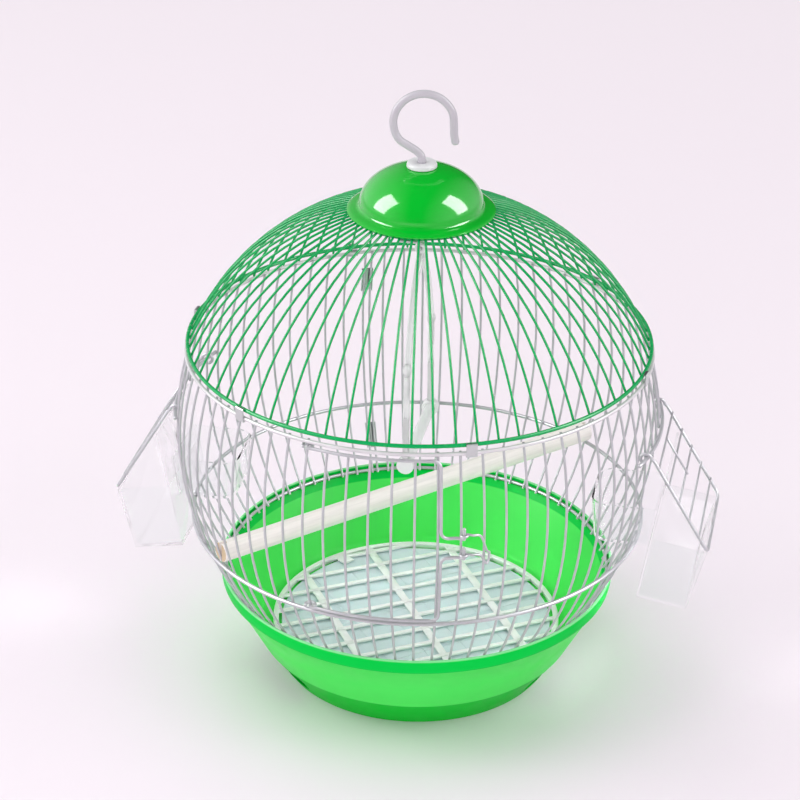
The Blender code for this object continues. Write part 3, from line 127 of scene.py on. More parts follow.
def outward(angle):
    """Level unit vector that points away from the cage's axis."""
    turn = math.radians(angle)
    return Vector((math.sin(turn), -math.cos(turn), 0.0))


def sideways(angle):
    """Level unit vector along the cage's skin."""
    turn = math.radians(angle)
    return Vector((math.cos(turn), math.sin(turn), 0.0))


class Meridian:
    """Circular arc that an upright wire follows, in the plane through the axis."""

    def __init__(self, centre_radius, centre_height, radius):
        self.centre_radius = centre_radius
        self.centre_height = centre_height
        self.radius = radius

    def lift(self, height):
        """Angle of the arc's point at a height."""
        return math.asin((height - self.centre_height) / self.radius)

    def across(self, height):
        """Radius of the skin at a height."""
        return self.centre_radius + self.radius * math.cos(self.lift(height))

    def normal(self, angle, lift):
        """Unit vector square to the skin."""
        return outward(angle) * math.cos(lift) + Vector((0.0, 0.0, math.sin(lift)))

    def place(self, angle, lift, out=0.0):
        """Point off the skin by out."""
        radius = self.centre_radius + self.radius * math.cos(lift)
        height = self.centre_height + self.radius * math.sin(lift)
        return at(angle, radius, height) + self.normal(angle, lift) * out


SKIN = Meridian(SKIN_RADIUS - SKIN_CURVE, BELLY_Z, SKIN_CURVE)
DOME_FOOT_RADIUS = SKIN.across(TOP_HOOP_Z) - 0.0011


def dome_meridian():
    """Arc from the green ring up to the small ring under the cap."""
    chord = Vector((CAP_RING_RADIUS - DOME_FOOT_RADIUS, CROWN_Z - RING_Z))
    middle = Vector((DOME_FOOT_RADIUS, RING_Z)) + chord / 2.0
    inward = Vector((-chord.y, chord.x)).normalized()
    depth = math.sqrt(DOME_CURVE ** 2 - chord.length_squared / 4.0)
    centre = middle + inward * depth
    return Meridian(centre.x, centre.y, DOME_CURVE)


DOME = dome_meridian()


def on_skin(angle, height, out=0.0):
    """Point beside the body's skin at an angle and a height."""
    return at(angle, SKIN.across(height) + out, height)


def smooth_curve(points, steps):
    """Points on a Catmull-Rom curve through a row of points."""
    row = [Vector(point) for point in points]
    ends = [row[0] * 2.0 - row[1]] + row + [row[-1] * 2.0 - row[-2]]
    curve = []
    for p0, p1, p2, p3 in zip(ends, ends[1:], ends[2:], ends[3:]):
        for step in range(steps):
            t = step / steps
            linear = 2.0 * p1 + (p2 - p0) * t
            square = (2.0 * p0 - 5.0 * p1 + 4.0 * p2 - p3) * t ** 2
            cube = (3.0 * p1 - p0 - 3.0 * p2 + p3) * t ** 3
            curve.append((linear + square + cube) * 0.5)
    curve.append(row[-1])
    return curve


def round_corners(points, radius, steps):
    """Round the inner corners of a row of points."""
    rounded = [Vector(points[0])]
    for before, corner, after in zip(points, points[1:], points[2:]):
        back = Vector(before) - Vector(corner)
        ahead = Vector(after) - Vector(corner)
        reach = min(radius, 0.45 * back.length, 0.45 * ahead.length)
        first = Vector(corner) + back.normalized() * reach
        last = Vector(corner) + ahead.normalized() * reach
        for step in range(steps + 1):
            share = step / steps
            low = first.lerp(Vector(corner), share)
            high = Vector(corner).lerp(last, share)
            rounded.append(low.lerp(high, share))
    rounded.append(Vector(points[-1]))
    return rounded


def coil(centre, axis, start, radius, turns, steps):
    """Points of a wire eye about an axis, from a start direction."""
    axis = Vector(axis).normalized()
    start = Vector(start)
    start = (start - axis * start.dot(axis)).normalized()
    side = axis.cross(start)
    points = []
    for step in range(steps + 1):
        turn = math.tau * turns * step / steps
        spoke = start * math.cos(turn) + side * math.sin(turn)
        points.append(Vector(centre) + spoke * radius)
    return points


def path_frames(path):
    """One matrix for each point of a path, its Z axis along the path."""
    spots = [Vector(point) for point in path]
    headings = []
    for index in range(len(spots)):
        before = spots[max(index - 1, 0)]
        after = spots[min(index + 1, len(spots) - 1)]
        headings.append((after - before).normalized())
    steep = abs(headings[0].z) >= STEEP_HEADING
    guide = Vector((1.0, 0.0, 0.0)) if steep else Vector((0.0, 0.0, 1.0))
    across = headings[0].cross(guide).normalized()
    stands = []
    for spot, heading in zip(spots, headings):
        across = (across - heading * across.dot(heading)).normalized()
        third = heading.cross(across)
        turn = Matrix((across, third, heading)).transposed().to_4x4()
        stands.append(Matrix.Translation(spot) @ turn)
    return stands


def parts_of(geom):
    """Vertices and edges among the parts that an operator has made."""
    verts = [item for item in geom if isinstance(item, bmesh.types.BMVert)]
    edges = [item for item in geom if isinstance(item, bmesh.types.BMEdge)]
    return verts, edges


def edges_of(verts):
    """Edges that meet any of the vertices."""
    return list({edge for vert in verts for edge in vert.link_edges})


def bevel_edges(bm, edges, width, segments):
    """Round edges, and give back the faces that this makes."""
    return bmesh.ops.bevel(
        bm,
        geom=edges,
        offset=width,
        segments=segments,
        affect="EDGES",
        profile=0.5,
        material=-1,
    )["faces"]


def spin_full(bm, geom, steps):
    """Spin an outline once round the cage's axis."""
    bmesh.ops.spin(
        bm,
        geom=geom,
        cent=(0.0, 0.0, 0.0),
        axis=(0.0, 0.0, 1.0),
        angle=math.tau,
        steps=steps,
        use_merge=True,
    )


def extrude_along(bm, first, stations):
    """Extrude a ring of edges through a row of matrices and close both ends."""
    edges = first
    for before, here in zip(stations, stations[1:]):
        verts, edges = parts_of(bmesh.ops.extrude_edge_only(bm, edges=edges)["geom"])
        bmesh.ops.transform(bm, matrix=here @ before.inverted(), verts=verts)
    bmesh.ops.edgeloop_fill(bm, edges=first)
    bmesh.ops.edgeloop_fill(bm, edges=edges)


def sweep(bm, path, radius, sides=10, round_ends=True):
    """Round wire: a circle extruded along a path, its ends rounded or flat."""
    stands = path_frames(path)
    widths = [radius] * len(stands)
    if round_ends:
        first, last = stands[0], stands[-1]
        for share, width in WIRE_END_STEPS:
            beyond = radius * share * WIRE_END_LENGTH
            stands.insert(0, first @ Matrix.Translation((0.0, 0.0, -beyond)))
            stands.append(last @ Matrix.Translation((0.0, 0.0, beyond)))
            widths = [radius * width, *widths, radius * width]
    stations = []
    for stand, width in zip(stands, widths):
        stations.append(stand @ Matrix.Diagonal((width, width, 1.0, 1.0)))
    ring = bmesh.ops.create_circle(
        bm, cap_ends=False, segments=sides, radius=1.0, matrix=stations[0]
    )
    extrude_along(bm, edges_of(ring["verts"]), stations)


def spin_profile(bm, profile, steps):
    """Turn a closed outline of (radius, height) points round the axis."""
    corners = [bm.verts.new((radius, 0.0, height)) for radius, height in profile]
    edges = []
    for first, second in zip(corners, corners[1:] + corners[:1]):
        if first.co.x > ON_AXIS or second.co.x > ON_AXIS:
            edges.append(bm.edges.new((first, second)))
    spin_full(bm, corners + edges, steps)
    bmesh.ops.remove_doubles(bm, verts=bm.verts[:], dist=MERGE_GAP)


def hoop(bm, radius, height, wire, steps=140):
    """Closed ring of round wire about the cage's axis."""
    place = Matrix.Translation((radius, 0.0, height)) @ Matrix.Rotation(math.pi / 2.0, 4, "X")
    ring = bmesh.ops.create_circle(
        bm, cap_ends=False, segments=10, radius=wire / 2.0, matrix=place
    )
    spin_full(bm, ring["verts"] + edges_of(ring["verts"]), steps)


def hoop_on(bm, meridian, height, out, wire, steps=140):
    """Hoop round a skin at a height, its middle off the skin by out."""
    spot = meridian.place(0.0, meridian.lift(height), out)
    hoop(bm, -spot.y, spot.z, wire, steps)


def add_copies(bm, template, angles):
    """Add a template mesh at each angle about the cage's axis."""
    for angle in angles:
        before = len(bm.verts)
        bm.from_mesh(template)
        bm.verts.ensure_lookup_table()
        added = bm.verts[before:]
        turn = Matrix.Rotation(math.radians(angle), 4, "Z")
        bmesh.ops.transform(bm, matrix=turn, verts=added)


def bevelled_box(bm, size, place, bevel, segments=2):
    """Box with its edges rounded, centred on a matrix."""
    made = bmesh.ops.create_cube(bm, size=1.0)["verts"]
    bmesh.ops.transform(bm, matrix=Matrix.Diagonal((*size, 1.0)), verts=made)
    faces = bevel_edges(bm, edges_of(made), bevel, segments)
    verts = {vert for face in faces for vert in face.verts}
    verts |= {vert for vert in made if vert.is_valid}
    bmesh.ops.transform(bm, matrix=place, verts=list(verts))


def add_prism(bm, radius, length, place, sides):
    """Closed prism along a matrix's Z axis, and its vertices."""
    return bmesh.ops.create_cone(
        bm,
        cap_ends=True,
        segments=sides,
        radius1=radius,
        radius2=radius,
        depth=length,
        matrix=place,
    )["verts"]


def round_bar(bm, radius, length, place, sides, bevel):
    """Dowel along a matrix's Z axis, with its end edges rounded."""
    rims = []
    for edge in edges_of(add_prism(bm, radius, length, place, sides)):
        if any(len(face.verts) > 4 for face in edge.link_faces):
            rims.append(edge)
    bevel_edges(bm, rims, bevel, 3)


def finish_mesh(name, bm, look, sharp=SHARP):
    """Turn a bmesh into a named object with smooth faces between sharp edges."""
    bmesh.ops.recalc_face_normals(bm, faces=bm.faces[:])
    mesh = bpy.data.meshes.new(name)
    bm.to_mesh(mesh)
    bm.free()
    mesh.materials.append(look)
    mesh.shade_smooth()
    mesh.set_sharp_from_angle(angle=math.radians(sharp))
    made = bpy.data.objects.new(name, mesh)
    bpy.context.scene.collection.objects.link(made)
    return made


def finish_piece(name, bm, look, body, nodes=(), sharp=SHARP):
    """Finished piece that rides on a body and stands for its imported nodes."""
    made = finish_mesh(name, bm, look, sharp)
    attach(made, body)
    if nodes:
        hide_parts(*nodes)
    return made


def apply_modifiers(piece, sharp):
    """Give a piece the mesh that its modifiers make, in its own material."""
    bpy.context.view_layer.update()
    graph = bpy.context.evaluated_depsgraph_get()
    shaped = bpy.data.meshes.new_from_object(piece.evaluated_get(graph))
    look = piece.data.materials[0]
    piece.modifiers.clear()
    piece.data = shaped
    shaped.name = piece.name
    shaped.materials.clear()
    shaped.materials.append(look)
    for polygon in shaped.polygons:
        polygon.material_index = 0
    shaped.shade_smooth()
    shaped.set_sharp_from_angle(angle=math.radians(sharp))


def cut_away(piece, name, bm):
    """Cut a closed bmesh out of a finished piece."""
    cutter = finish_mesh(name, bm, piece.data.materials[0])
    modifier = piece.modifiers.new(name, "BOOLEAN")
    modifier.operation = "DIFFERENCE"
    modifier.solver = "EXACT"
    modifier.object = cutter
    apply_modifiers(piece, SHARP)
    bpy.data.objects.remove(cutter, do_unlink=True)


def round_edges(piece, width):
    """Round the sharp edges of a carved piece."""
    modifier = piece.modifiers.new("soft_edges", "BEVEL")
    modifier.width = width
    modifier.segments = 2
    modifier.limit_method = "ANGLE"
    modifier.angle_limit = math.radians(CURVED_SHARP)
    modifier.harden_normals = False
    apply_modifiers(piece, CARVED_SHARP)


def nodes_named(*starts):
    """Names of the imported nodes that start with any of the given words."""
    return sorted(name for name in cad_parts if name.startswith(starts))


class StageSettings(bpy.types.PropertyGroup):
    """Camera, and the tint of the floor and the backdrop."""

    focal_length: FloatProperty(
        name="Focal Length",
        description="Lens of the camera on a 36 mm sensor, in millimetres",
        default=113.175,
        min=20.0,
    )
    camera_turn: FloatProperty(
        name="Camera Turn",
        description="How far the camera stands to the right of the door",
        default=math.radians(11.3),
        subtype="ANGLE",
        unit="ROTATION",
    )
    camera_pitch: FloatProperty(
        name="Camera Pitch",
        description="How far the camera looks down",
        default=math.radians(27.24),
        subtype="ANGLE",
        unit="ROTATION",
    )
    camera_roll: FloatProperty(
        name="Camera Roll",
        description="How far the camera leans to its side",
        default=math.radians(0.56),
        subtype="ANGLE",
        unit="ROTATION",
    )
    camera_distance: FloatProperty(
        name="Camera Distance",
        description="Distance from the camera to the point that it looks at",
        default=1.8,
        subtype="DISTANCE",
        unit="LENGTH",
    )
    aim_height: FloatProperty(
        name="Aim Height",
        description="Height of the point that the distance is taken from",
        default=RING_Z,
        subtype="DISTANCE",
        unit="LENGTH",
    )
    aim_side: FloatProperty(
        name="Aim to the Side",
        description="How far the camera is moved along its own right",
        default=0.014,
        subtype="DISTANCE",
        unit="LENGTH",
    )
    aim_up: FloatProperty(
        name="Aim Upward",
        description="How far the camera is moved along its own up",
        default=0.0448,
        subtype="DISTANCE",
        unit="LENGTH",
    )
    backdrop_tint: FloatVectorProperty(
        name="Backdrop",
        description="Colour of the pale backdrop",
        default=(0.955, 0.87, 0.935),
        subtype="COLOR",
        min=0.0,
        max=1.0,
    )


def nodes_of(name):
    """Node tree parts of a new material: material, nodes, links and shader."""
    made = bpy.data.materials.new(name)
    made.use_nodes = True
    tree = made.node_tree
    return made, tree.nodes, tree.links, tree.nodes["Principled BSDF"]


def maths(nodes, operation, second=None):
    """Math node, with its second value fixed where one is given."""
    made = nodes.new("ShaderNodeMath")
    made.operation = operation
    if second is not None:
        made.inputs[1].default_value = second
    return made


def remap(nodes, low, high, first, last):
    """Node that spreads the values from low to high over first to last."""
    made = nodes.new("ShaderNodeMapRange")
    made.inputs["From Min"].default_value = low
    made.inputs["From Max"].default_value = high
    made.inputs["To Min"].default_value = first
    made.inputs["To Max"].default_value = last
    return made


def two_tones(nodes, low, first, high, second):
    """Colour ramp from the first tone at low to the second one at high."""
    made = nodes.new("ShaderNodeValToRGB")
    stops = made.color_ramp.elements
    stops[0].position = low
    stops[0].color = (*first, 1.0)
    stops[1].position = high
    stops[1].color = (*second, 1.0)
    return made


def object_noise(nodes, links, scale, detail=3.0):
    """Noise over the piece's own coordinates."""
    place = nodes.new("ShaderNodeTexCoord")
    noise = nodes.new("ShaderNodeTexNoise")
    noise.inputs["Scale"].default_value = scale
    noise.inputs["Detail"].default_value = detail
    links.new(place.outputs["Object"], noise.inputs["Vector"])
    return noise.outputs["Fac"]


def mottle(nodes, links, shader, colour, dark, light, scale):
    """Let the base colour drift between a darker and a lighter tone of it."""
    ramp = two_tones(nodes, 0.35, shade(colour, dark), 0.65, shade(colour, light))
    links.new(object_noise(nodes, links, scale), ramp.inputs["Fac"])
    links.new(ramp.outputs["Color"], shader.inputs["Base Color"])


def vary_roughness(nodes, links, shader, scale, low, high):
    """Let the gloss drift between two roughness values."""
    spread = remap(nodes, low=0.3, high=0.7, first=low, last=high)
    links.new(object_noise(nodes, links, scale), spread.inputs["Value"])
    links.new(spread.outputs["Result"], shader.inputs["Roughness"])


def add_bump(nodes, links, shader, relief, height, strength=1.0):
    """Fine unevenness of the surface, of a height in metres, from a noise."""
    bump = nodes.new("ShaderNodeBump")
    bump.inputs["Strength"].default_value = strength
    bump.inputs["Distance"].default_value = height
    links.new(relief, bump.inputs["Height"])
    links.new(bump.outputs["Normal"], shader.inputs["Normal"])


def shade(colour, factor):
    """Tone of a colour."""
    return tuple(min(1.0, channel * factor) for channel in colour)


LOOKS = {}
PLASTIC_IOR = 1.49
CLEAR_IOR = 1.035


def kept_look(name, maker, **values):
    """Material that several pieces share, made once."""
    if name not in LOOKS:
        LOOKS[name] = maker(name, **values)
    return LOOKS[name]


def plated_wire(name, colour, roughness, metallic):
    """Drawn wire with a bright plated or painted skin."""
    made, nodes, links, shader = nodes_of(name)
    mottle(nodes, links, shader, colour, dark=0.94, light=1.04, scale=60.0)
    low, high = roughness * 0.9, roughness * 1.1
    vary_roughness(nodes, links, shader, scale=160.0, low=low, high=high)
    relief = object_noise(nodes, links, scale=60.0, detail=2.0)
    add_bump(nodes, links, shader, relief, height=0.000008)
    shader.inputs["Specular IOR Level"].default_value = 0.3
    shader.inputs["Metallic"].default_value = metallic
    return made


def moulded_plastic(name, colour, roughness, milky, tint):
    """Injection-moulded plastic, a little milky where light passes through."""
    made, nodes, links, shader = nodes_of(name)
    mottle(nodes, links, shader, colour, dark=0.95, light=1.04, scale=14.0)
    finish_plastic(nodes, links, shader, roughness, milky, tint, gloss=0.3)
    return made


def finish_plastic(nodes, links, shader, roughness, milky, tint, gloss):
    """Gloss, faint waviness and milkiness of a moulded plastic."""
    low, high = roughness * 0.85, roughness * 1.25
    vary_roughness(nodes, links, shader, scale=60.0, low=low, high=high)
    relief = object_noise(nodes, links, scale=38.0, detail=2.0)
    add_bump(nodes, links, shader, relief, height=0.00006)
    shader.inputs["Subsurface Weight"].default_value = milky
    shader.inputs["Subsurface Radius"].default_value = tint
    shader.inputs["Subsurface Scale"].default_value = 0.008
    shader.inputs["Specular IOR Level"].default_value = gloss
    shader.inputs["IOR"].default_value = PLASTIC_IOR


def shade_banded_plastic(name, bands, height, roughness, milky, tint):
    """Moulded plastic whose tone steps at given heights, in bands of painted shade and painted
    light.
    """
    made, nodes, links, shader = nodes_of(name)
    place = nodes.new("ShaderNodeTexCoord")
    split = nodes.new("ShaderNodeSeparateXYZ")
    share = maths(nodes, "DIVIDE", height)
    # The ramp holds the bands of painted shade and painted light, from the foot up.
    tone = two_tones(nodes, 0.0, bands[0][1], 1.0, bands[-1][1])
    blend = 0.0007
    below = bands[0][1]
    for start, colour in bands[1:]:
        for level, shown in ((start - blend, below), (start, colour)):
            stop = tone.color_ramp.elements.new(min(level / height, 0.9999))
            stop.color = (*shown, 1.0)
        below = colour
    drift = two_tones(nodes, 0.3, (0.93, 0.93, 0.93), 0.7, (1.0, 1.0, 1.0))
    mix = nodes.new("ShaderNodeMix")
    mix.data_type = "RGBA"
    mix.blend_type = "MULTIPLY"
    mix.inputs["Factor"].default_value = 1.0
    links.new(place.outputs["Object"], split.inputs["Vector"])
    links.new(split.outputs["Z"], share.inputs[0])
    links.new(share.outputs["Value"], tone.inputs["Fac"])
    links.new(object_noise(nodes, links, scale=11.0), drift.inputs["Fac"])
    links.new(tone.outputs["Color"], mix.inputs["A"])
    links.new(drift.outputs["Color"], mix.inputs["B"])
    links.new(mix.outputs["Result"], shader.inputs["Base Color"])
    finish_plastic(nodes, links, shader, roughness, milky, tint, gloss=0.06)
    return made


def lacquered_plastic(name, colour, roughness):
    """Glossy moulded plastic under a clear, mirror-smooth skin."""
    made, nodes, links, shader = nodes_of(name)
    mottle(nodes, links, shader, colour, dark=0.96, light=1.03, scale=14.0)
    finish_plastic(nodes, links, shader, roughness, 0.0, (1.0, 1.0, 1.0), gloss=0.05)
    shader.inputs["Coat Weight"].default_value = 1.0
    shader.inputs["Coat Roughness"].default_value = 0.09
    return made


def clear_styrene(name, colour, roughness):
    """Clear moulded plastic with faint flow marks, too thin to bend light much."""
    made, nodes, links, shader = nodes_of(name)
    shader.inputs["Base Color"].default_value = (*colour, 1.0)
    shader.inputs["Transmission Weight"].default_value = 1.0
    shader.inputs["IOR"].default_value = CLEAR_IOR
    shader.inputs["Coat Weight"].default_value = 0.5
    shader.inputs["Coat Roughness"].default_value = 0.04
    low, high = roughness * 0.5, roughness * 1.6
    vary_roughness(nodes, links, shader, scale=40.0, low=low, high=high)
    relief = object_noise(nodes, links, scale=30.0, detail=2.0)
    add_bump(nodes, links, shader, relief, height=0.00001)
    return made


def pale_wood(name, colour, end_grain, along):
    """Turned pale wood with fine grain along the bar and darker sawn ends."""
    made, nodes, links, shader = nodes_of(name)
    place = nodes.new("ShaderNodeTexCoord")
    heading = Vector(along)
    turned = nodes.new("ShaderNodeMapping")
    turned.vector_type = "TEXTURE"
    turned.inputs["Rotation"].default_value = heading.to_track_quat("X", "Z").to_euler()
    squeeze = nodes.new("ShaderNodeMapping")
    squeeze.inputs["Scale"].default_value = (0.05, 1.0, 1.0)
    grain = nodes.new("ShaderNodeTexNoise")
    grain.inputs["Scale"].default_value = 420.0
    grain.inputs["Detail"].default_value = 5.0
    grain.inputs["Roughness"].default_value = 0.65
    tone = two_tones(nodes, 0.3, shade(colour, 0.88), 0.62, shade(colour, 1.02))
    facing = nodes.new("ShaderNodeVectorMath")
    facing.operation = "DOT_PRODUCT"
    facing.inputs[1].default_value = heading
    either = maths(nodes, "ABSOLUTE")
    sawn = maths(nodes, "GREATER_THAN", 0.8)
    mix = nodes.new("ShaderNodeMix")
    mix.data_type = "RGBA"
    mix.inputs["B"].default_value = (*end_grain, 1.0)
    links.new(place.outputs["Object"], turned.inputs["Vector"])
    links.new(turned.outputs["Vector"], squeeze.inputs["Vector"])
    links.new(squeeze.outputs["Vector"], grain.inputs["Vector"])
    links.new(grain.outputs["Fac"], tone.inputs["Fac"])
    links.new(place.outputs["Normal"], facing.inputs[0])
    links.new(facing.outputs["Value"], either.inputs[0])
    links.new(either.outputs["Value"], sawn.inputs[0])
    links.new(sawn.outputs["Value"], mix.inputs["Factor"])
    links.new(tone.outputs["Color"], mix.inputs["A"])
    links.new(mix.outputs["Result"], shader.inputs["Base Color"])
    add_bump(nodes, links, shader, grain.outputs["Fac"], height=0.0001, strength=0.6)
    shader.inputs["Roughness"].default_value = 0.62
    return made


def floor_paper(colour):
    """Matt pale paper with a painted tone that drifts with the distance from the tub: less
    green near the tub, as painted light against the green light that the tub bounces, and a
    little darker a short way out, as painted shade.
    """
    made, nodes, links, shader = nodes_of("floor_paper")
    place = nodes.new("ShaderNodeTexCoord")
    apart = nodes.new("ShaderNodeVectorMath")
    apart.operation = "LENGTH"
    reach = maths(nodes, "DIVIDE", 2.5)
    # Painted light and shade on the floor: a tone ramp by the distance from the tub.
    tone = two_tones(nodes, 0.05, (0.965, 0.85, 0.955), 0.9, colour)
    tone.color_ramp.interpolation = "EASE"
    middle = tone.color_ramp.elements.new(0.17)
    middle.color = (0.93, 0.845, 0.915, 1.0)
    links.new(place.outputs["Object"], apart.inputs[0])
    links.new(apart.outputs["Value"], reach.inputs[0])
    links.new(reach.outputs["Value"], tone.inputs["Fac"])
    links.new(tone.outputs["Color"], shader.inputs["Base Color"])
    shader.inputs["Roughness"].default_value = 0.9
    shader.inputs["Specular IOR Level"].default_value = 0.1
    return made


# Each lamp: its name, place, width and height, power, and whether only gloss shows it.
LAMPS = (
    ("soft_box_left", (-2.0, -0.4, 1.9), (0.9, 1.3), 14.0, False),
    ("soft_box_right", (2.1, -0.2, 1.7), (0.8, 1.2), 7.5, False),
    ("front_fill", (-0.3, -2.6, 0.55), (1.6, 0.9), 14.5, False),
    ("window_left", (-1.66, -0.5, 1.38), (1.05, 1.7), 85.0, True),
    ("window_right", (1.69, 0.08, 1.45), (0.95, 1.85), 85.0, True),
)
LAMP_AIM_Z = 0.2
WINDOW_AIM_Z = 0.38
FLOOR_RADIUS = 9.0


class CAGE_OT_stage(bpy.types.Operator):
    """Set up the camera, the soft lamps, the floor and the pale surroundings"""

    bl_idname = "cage.stage"
    bl_label = "Stage"

    def execute(self, context):
        settings = context.scene.cage_stage
        self.add_camera(context, settings)
        self.add_floor(context, settings)
        self.add_lamps(context)
        self.set_world(context, settings)
        context.scene.view_settings.view_transform = "Standard"
        return {"FINISHED"}

    def add_camera(self, context, settings):
        """Camera at the photograph's angle."""
        lens = bpy.data.cameras.new("cage_camera")
        lens.sensor_width = 36.0
        lens.lens = settings.focal_length
        lens.clip_end = 50.0
        camera = bpy.data.objects.new("cage_camera", lens)
        context.scene.collection.objects.link(camera)
        pitch = settings.camera_pitch
        roll = settings.camera_roll
        forward = Vector((0.0, math.cos(pitch), -math.sin(pitch)))
        right = Vector((1.0, 0.0, 0.0))
        upward = Vector((0.0, math.sin(pitch), math.cos(pitch)))
        leant_right = right * math.cos(roll) + upward * math.sin(roll)
        leant_up = upward * math.cos(roll) - right * math.sin(roll)
        eye = forward * -settings.camera_distance
        eye -= leant_right * settings.aim_side + leant_up * settings.aim_up
        stand = Matrix((leant_right, leant_up, -forward)).transposed().to_4x4()
        stand.translation = eye
        aim = Matrix.Translation((0.0, 0.0, settings.aim_height))
        turn = Matrix.Rotation(settings.camera_turn, 4, "Z")
        camera.matrix_world = aim @ turn @ stand
        context.scene.camera = camera

    def add_floor(self, context, settings):
        """Wide pale floor under the cage."""
        bm = bmesh.new()
        bmesh.ops.create_circle(bm, cap_ends=True, segments=64, radius=FLOOR_RADIUS)
        mesh = bpy.data.meshes.new("floor")
        bm.to_mesh(mesh)
        bm.free()
        floor = bpy.data.objects.new("floor", mesh)
        context.scene.collection.objects.link(floor)
        mesh.materials.append(floor_paper(tuple(settings.backdrop_tint)))

    def add_lamps(self, context):
        """Soft lamps, two windows that only gloss shows, and an even ceiling light."""
        for name, place, size, power, shine in LAMPS:
            lamp = bpy.data.lights.new(name, "AREA")
            lamp.shape = "RECTANGLE"
            lamp.size, lamp.size_y = size
            lamp.energy = power
            aim_z = WINDOW_AIM_Z if shine else LAMP_AIM_Z
            stand = self.stand_lamp(context, name, lamp, place, (0.0, 0.0, aim_z))
            stand.visible_camera = False
            stand.visible_glossy = shine
            stand.visible_diffuse = not shine
        sky = bpy.data.lights.new("ceiling_light", "SUN")
        sky.energy = 0.58
        sky.angle = 0.9
        place = (-0.5, 0.7, 2.0)
        stand = self.stand_lamp(context, "ceiling_light", sky, place, (0.0, 0.0, 0.0))
        stand.visible_glossy = False

    def stand_lamp(self, context, name, lamp, place, aim):
        """Hang a lamp at a place and turn it to its aim."""
        stand = bpy.data.objects.new(name, lamp)
        context.scene.collection.objects.link(stand)
        stand.location = place
        heading = Vector(aim) - Vector(place)
        stand.rotation_euler = heading.to_track_quat("-Z", "Y").to_euler()
        return stand

    def set_world(self, context, settings):
        """Pale surroundings, darker in gloss towards the front and the back."""
        world = bpy.data.worlds.new("pale_room")
        world.use_nodes = True
        nodes, links = world.node_tree.nodes, world.node_tree.links
        ground = nodes["Background"]
        ground.inputs["Color"].default_value = (0.95, 0.95, 0.95, 1.0)
        ground.inputs["Strength"].default_value = 0.70
        seen = nodes.new("ShaderNodeBackground")
        seen.inputs["Color"].default_value = (*settings.backdrop_tint, 1.0)
        shine = nodes.new("ShaderNodeBackground")
        shine.inputs["Color"].default_value = (0.97, 0.97, 0.98, 1.0)
        place = nodes.new("ShaderNodeTexCoord")
        split = nodes.new("ShaderNodeSeparateXYZ")
        aside = maths(nodes, "ABSOLUTE")
        spread = remap(nodes, low=0.2, high=0.9, first=0.05, last=1.5)
        rays = nodes.new("ShaderNodeLightPath")
        either = maths(nodes, "MAXIMUM")
        gloss = nodes.new("ShaderNodeMixShader")
        mix = nodes.new("ShaderNodeMixShader")
        links.new(place.outputs["Generated"], split.inputs["Vector"])
        links.new(split.outputs["X"], aside.inputs[0])
        links.new(aside.outputs["Value"], spread.inputs["Value"])
        links.new(spread.outputs["Result"], shine.inputs["Strength"])
        links.new(rays.outputs["Is Camera Ray"], either.inputs[0])
        links.new(rays.outputs["Is Transmission Ray"], either.inputs[1])
        links.new(rays.outputs["Is Glossy Ray"], gloss.inputs["Fac"])
        links.new(ground.outputs["Background"], gloss.inputs[1])
        links.new(shine.outputs["Background"], gloss.inputs[2])
        links.new(either.outputs["Value"], mix.inputs["Fac"])
        links.new(gloss.outputs["Shader"], mix.inputs[1])
        links.new(seen.outputs["Background"], mix.inputs[2])
        links.new(mix.outputs["Shader"], nodes["World Output"].inputs["Surface"])
        context.scene.world = world


class WireSettings(bpy.types.PropertyGroup):
    """Wires and hoops of the body and of the dome."""

    wire: FloatProperty(
        name="Wire",
        description="Diameter of the upright wires",
        default=WIRE,
        subtype="DISTANCE",
        unit="LENGTH",
    )
    hoop: FloatProperty(
        name="Hoop",
        description="Diameter of the hoops and rings",
        default=HOOP,
        subtype="DISTANCE",
        unit="LENGTH",
    )
    wander: FloatProperty(
        name="Wander",
        description="How far a wire leaves its even place along the hoops",
        default=math.radians(0.12),
        subtype="ANGLE",
        unit="ROTATION",
    )
    body_colour: FloatVectorProperty(
        name="Body Wire",
        description="Colour of the plated wires",
        default=(0.54, 0.53, 0.565),
        subtype="COLOR",
        min=0.0,
        max=1.0,
    )
    dome_colour: FloatVectorProperty(
        name="Dome Wire",
        description="Colour of the painted dome wires",
        default=(0.0, 0.40, 0.10),
        subtype="COLOR",
        min=0.0,
        max=1.0,
    )


class TubSettings(bpy.types.PropertyGroup):
    """Tub, litter tray and grating."""

    tub_colour: FloatVectorProperty(
        name="Tub",
        description="Colour of the moulded tub's thin wall",
        default=(0.085, 0.86, 0.125),
        subtype="COLOR",
        min=0.0,
        max=1.0,
    )
    grating_colour: FloatVectorProperty(
        name="Grating",
        description="Colour of the grating",
        default=(0.97, 0.93, 0.97),
        subtype="COLOR",
        min=0.0,
        max=1.0,
    )
    tray_colour: FloatVectorProperty(
        name="Tray",
        description="Colour of the litter tray",
        default=(0.62, 0.76, 0.79),
        subtype="COLOR",
        min=0.0,
        max=1.0,
    )
    bar_pitch: FloatProperty(
        name="Bar Spacing",
        description="Distance between the thin bars of the grating",
        default=0.0198,
        subtype="DISTANCE",
        unit="LENGTH",
    )


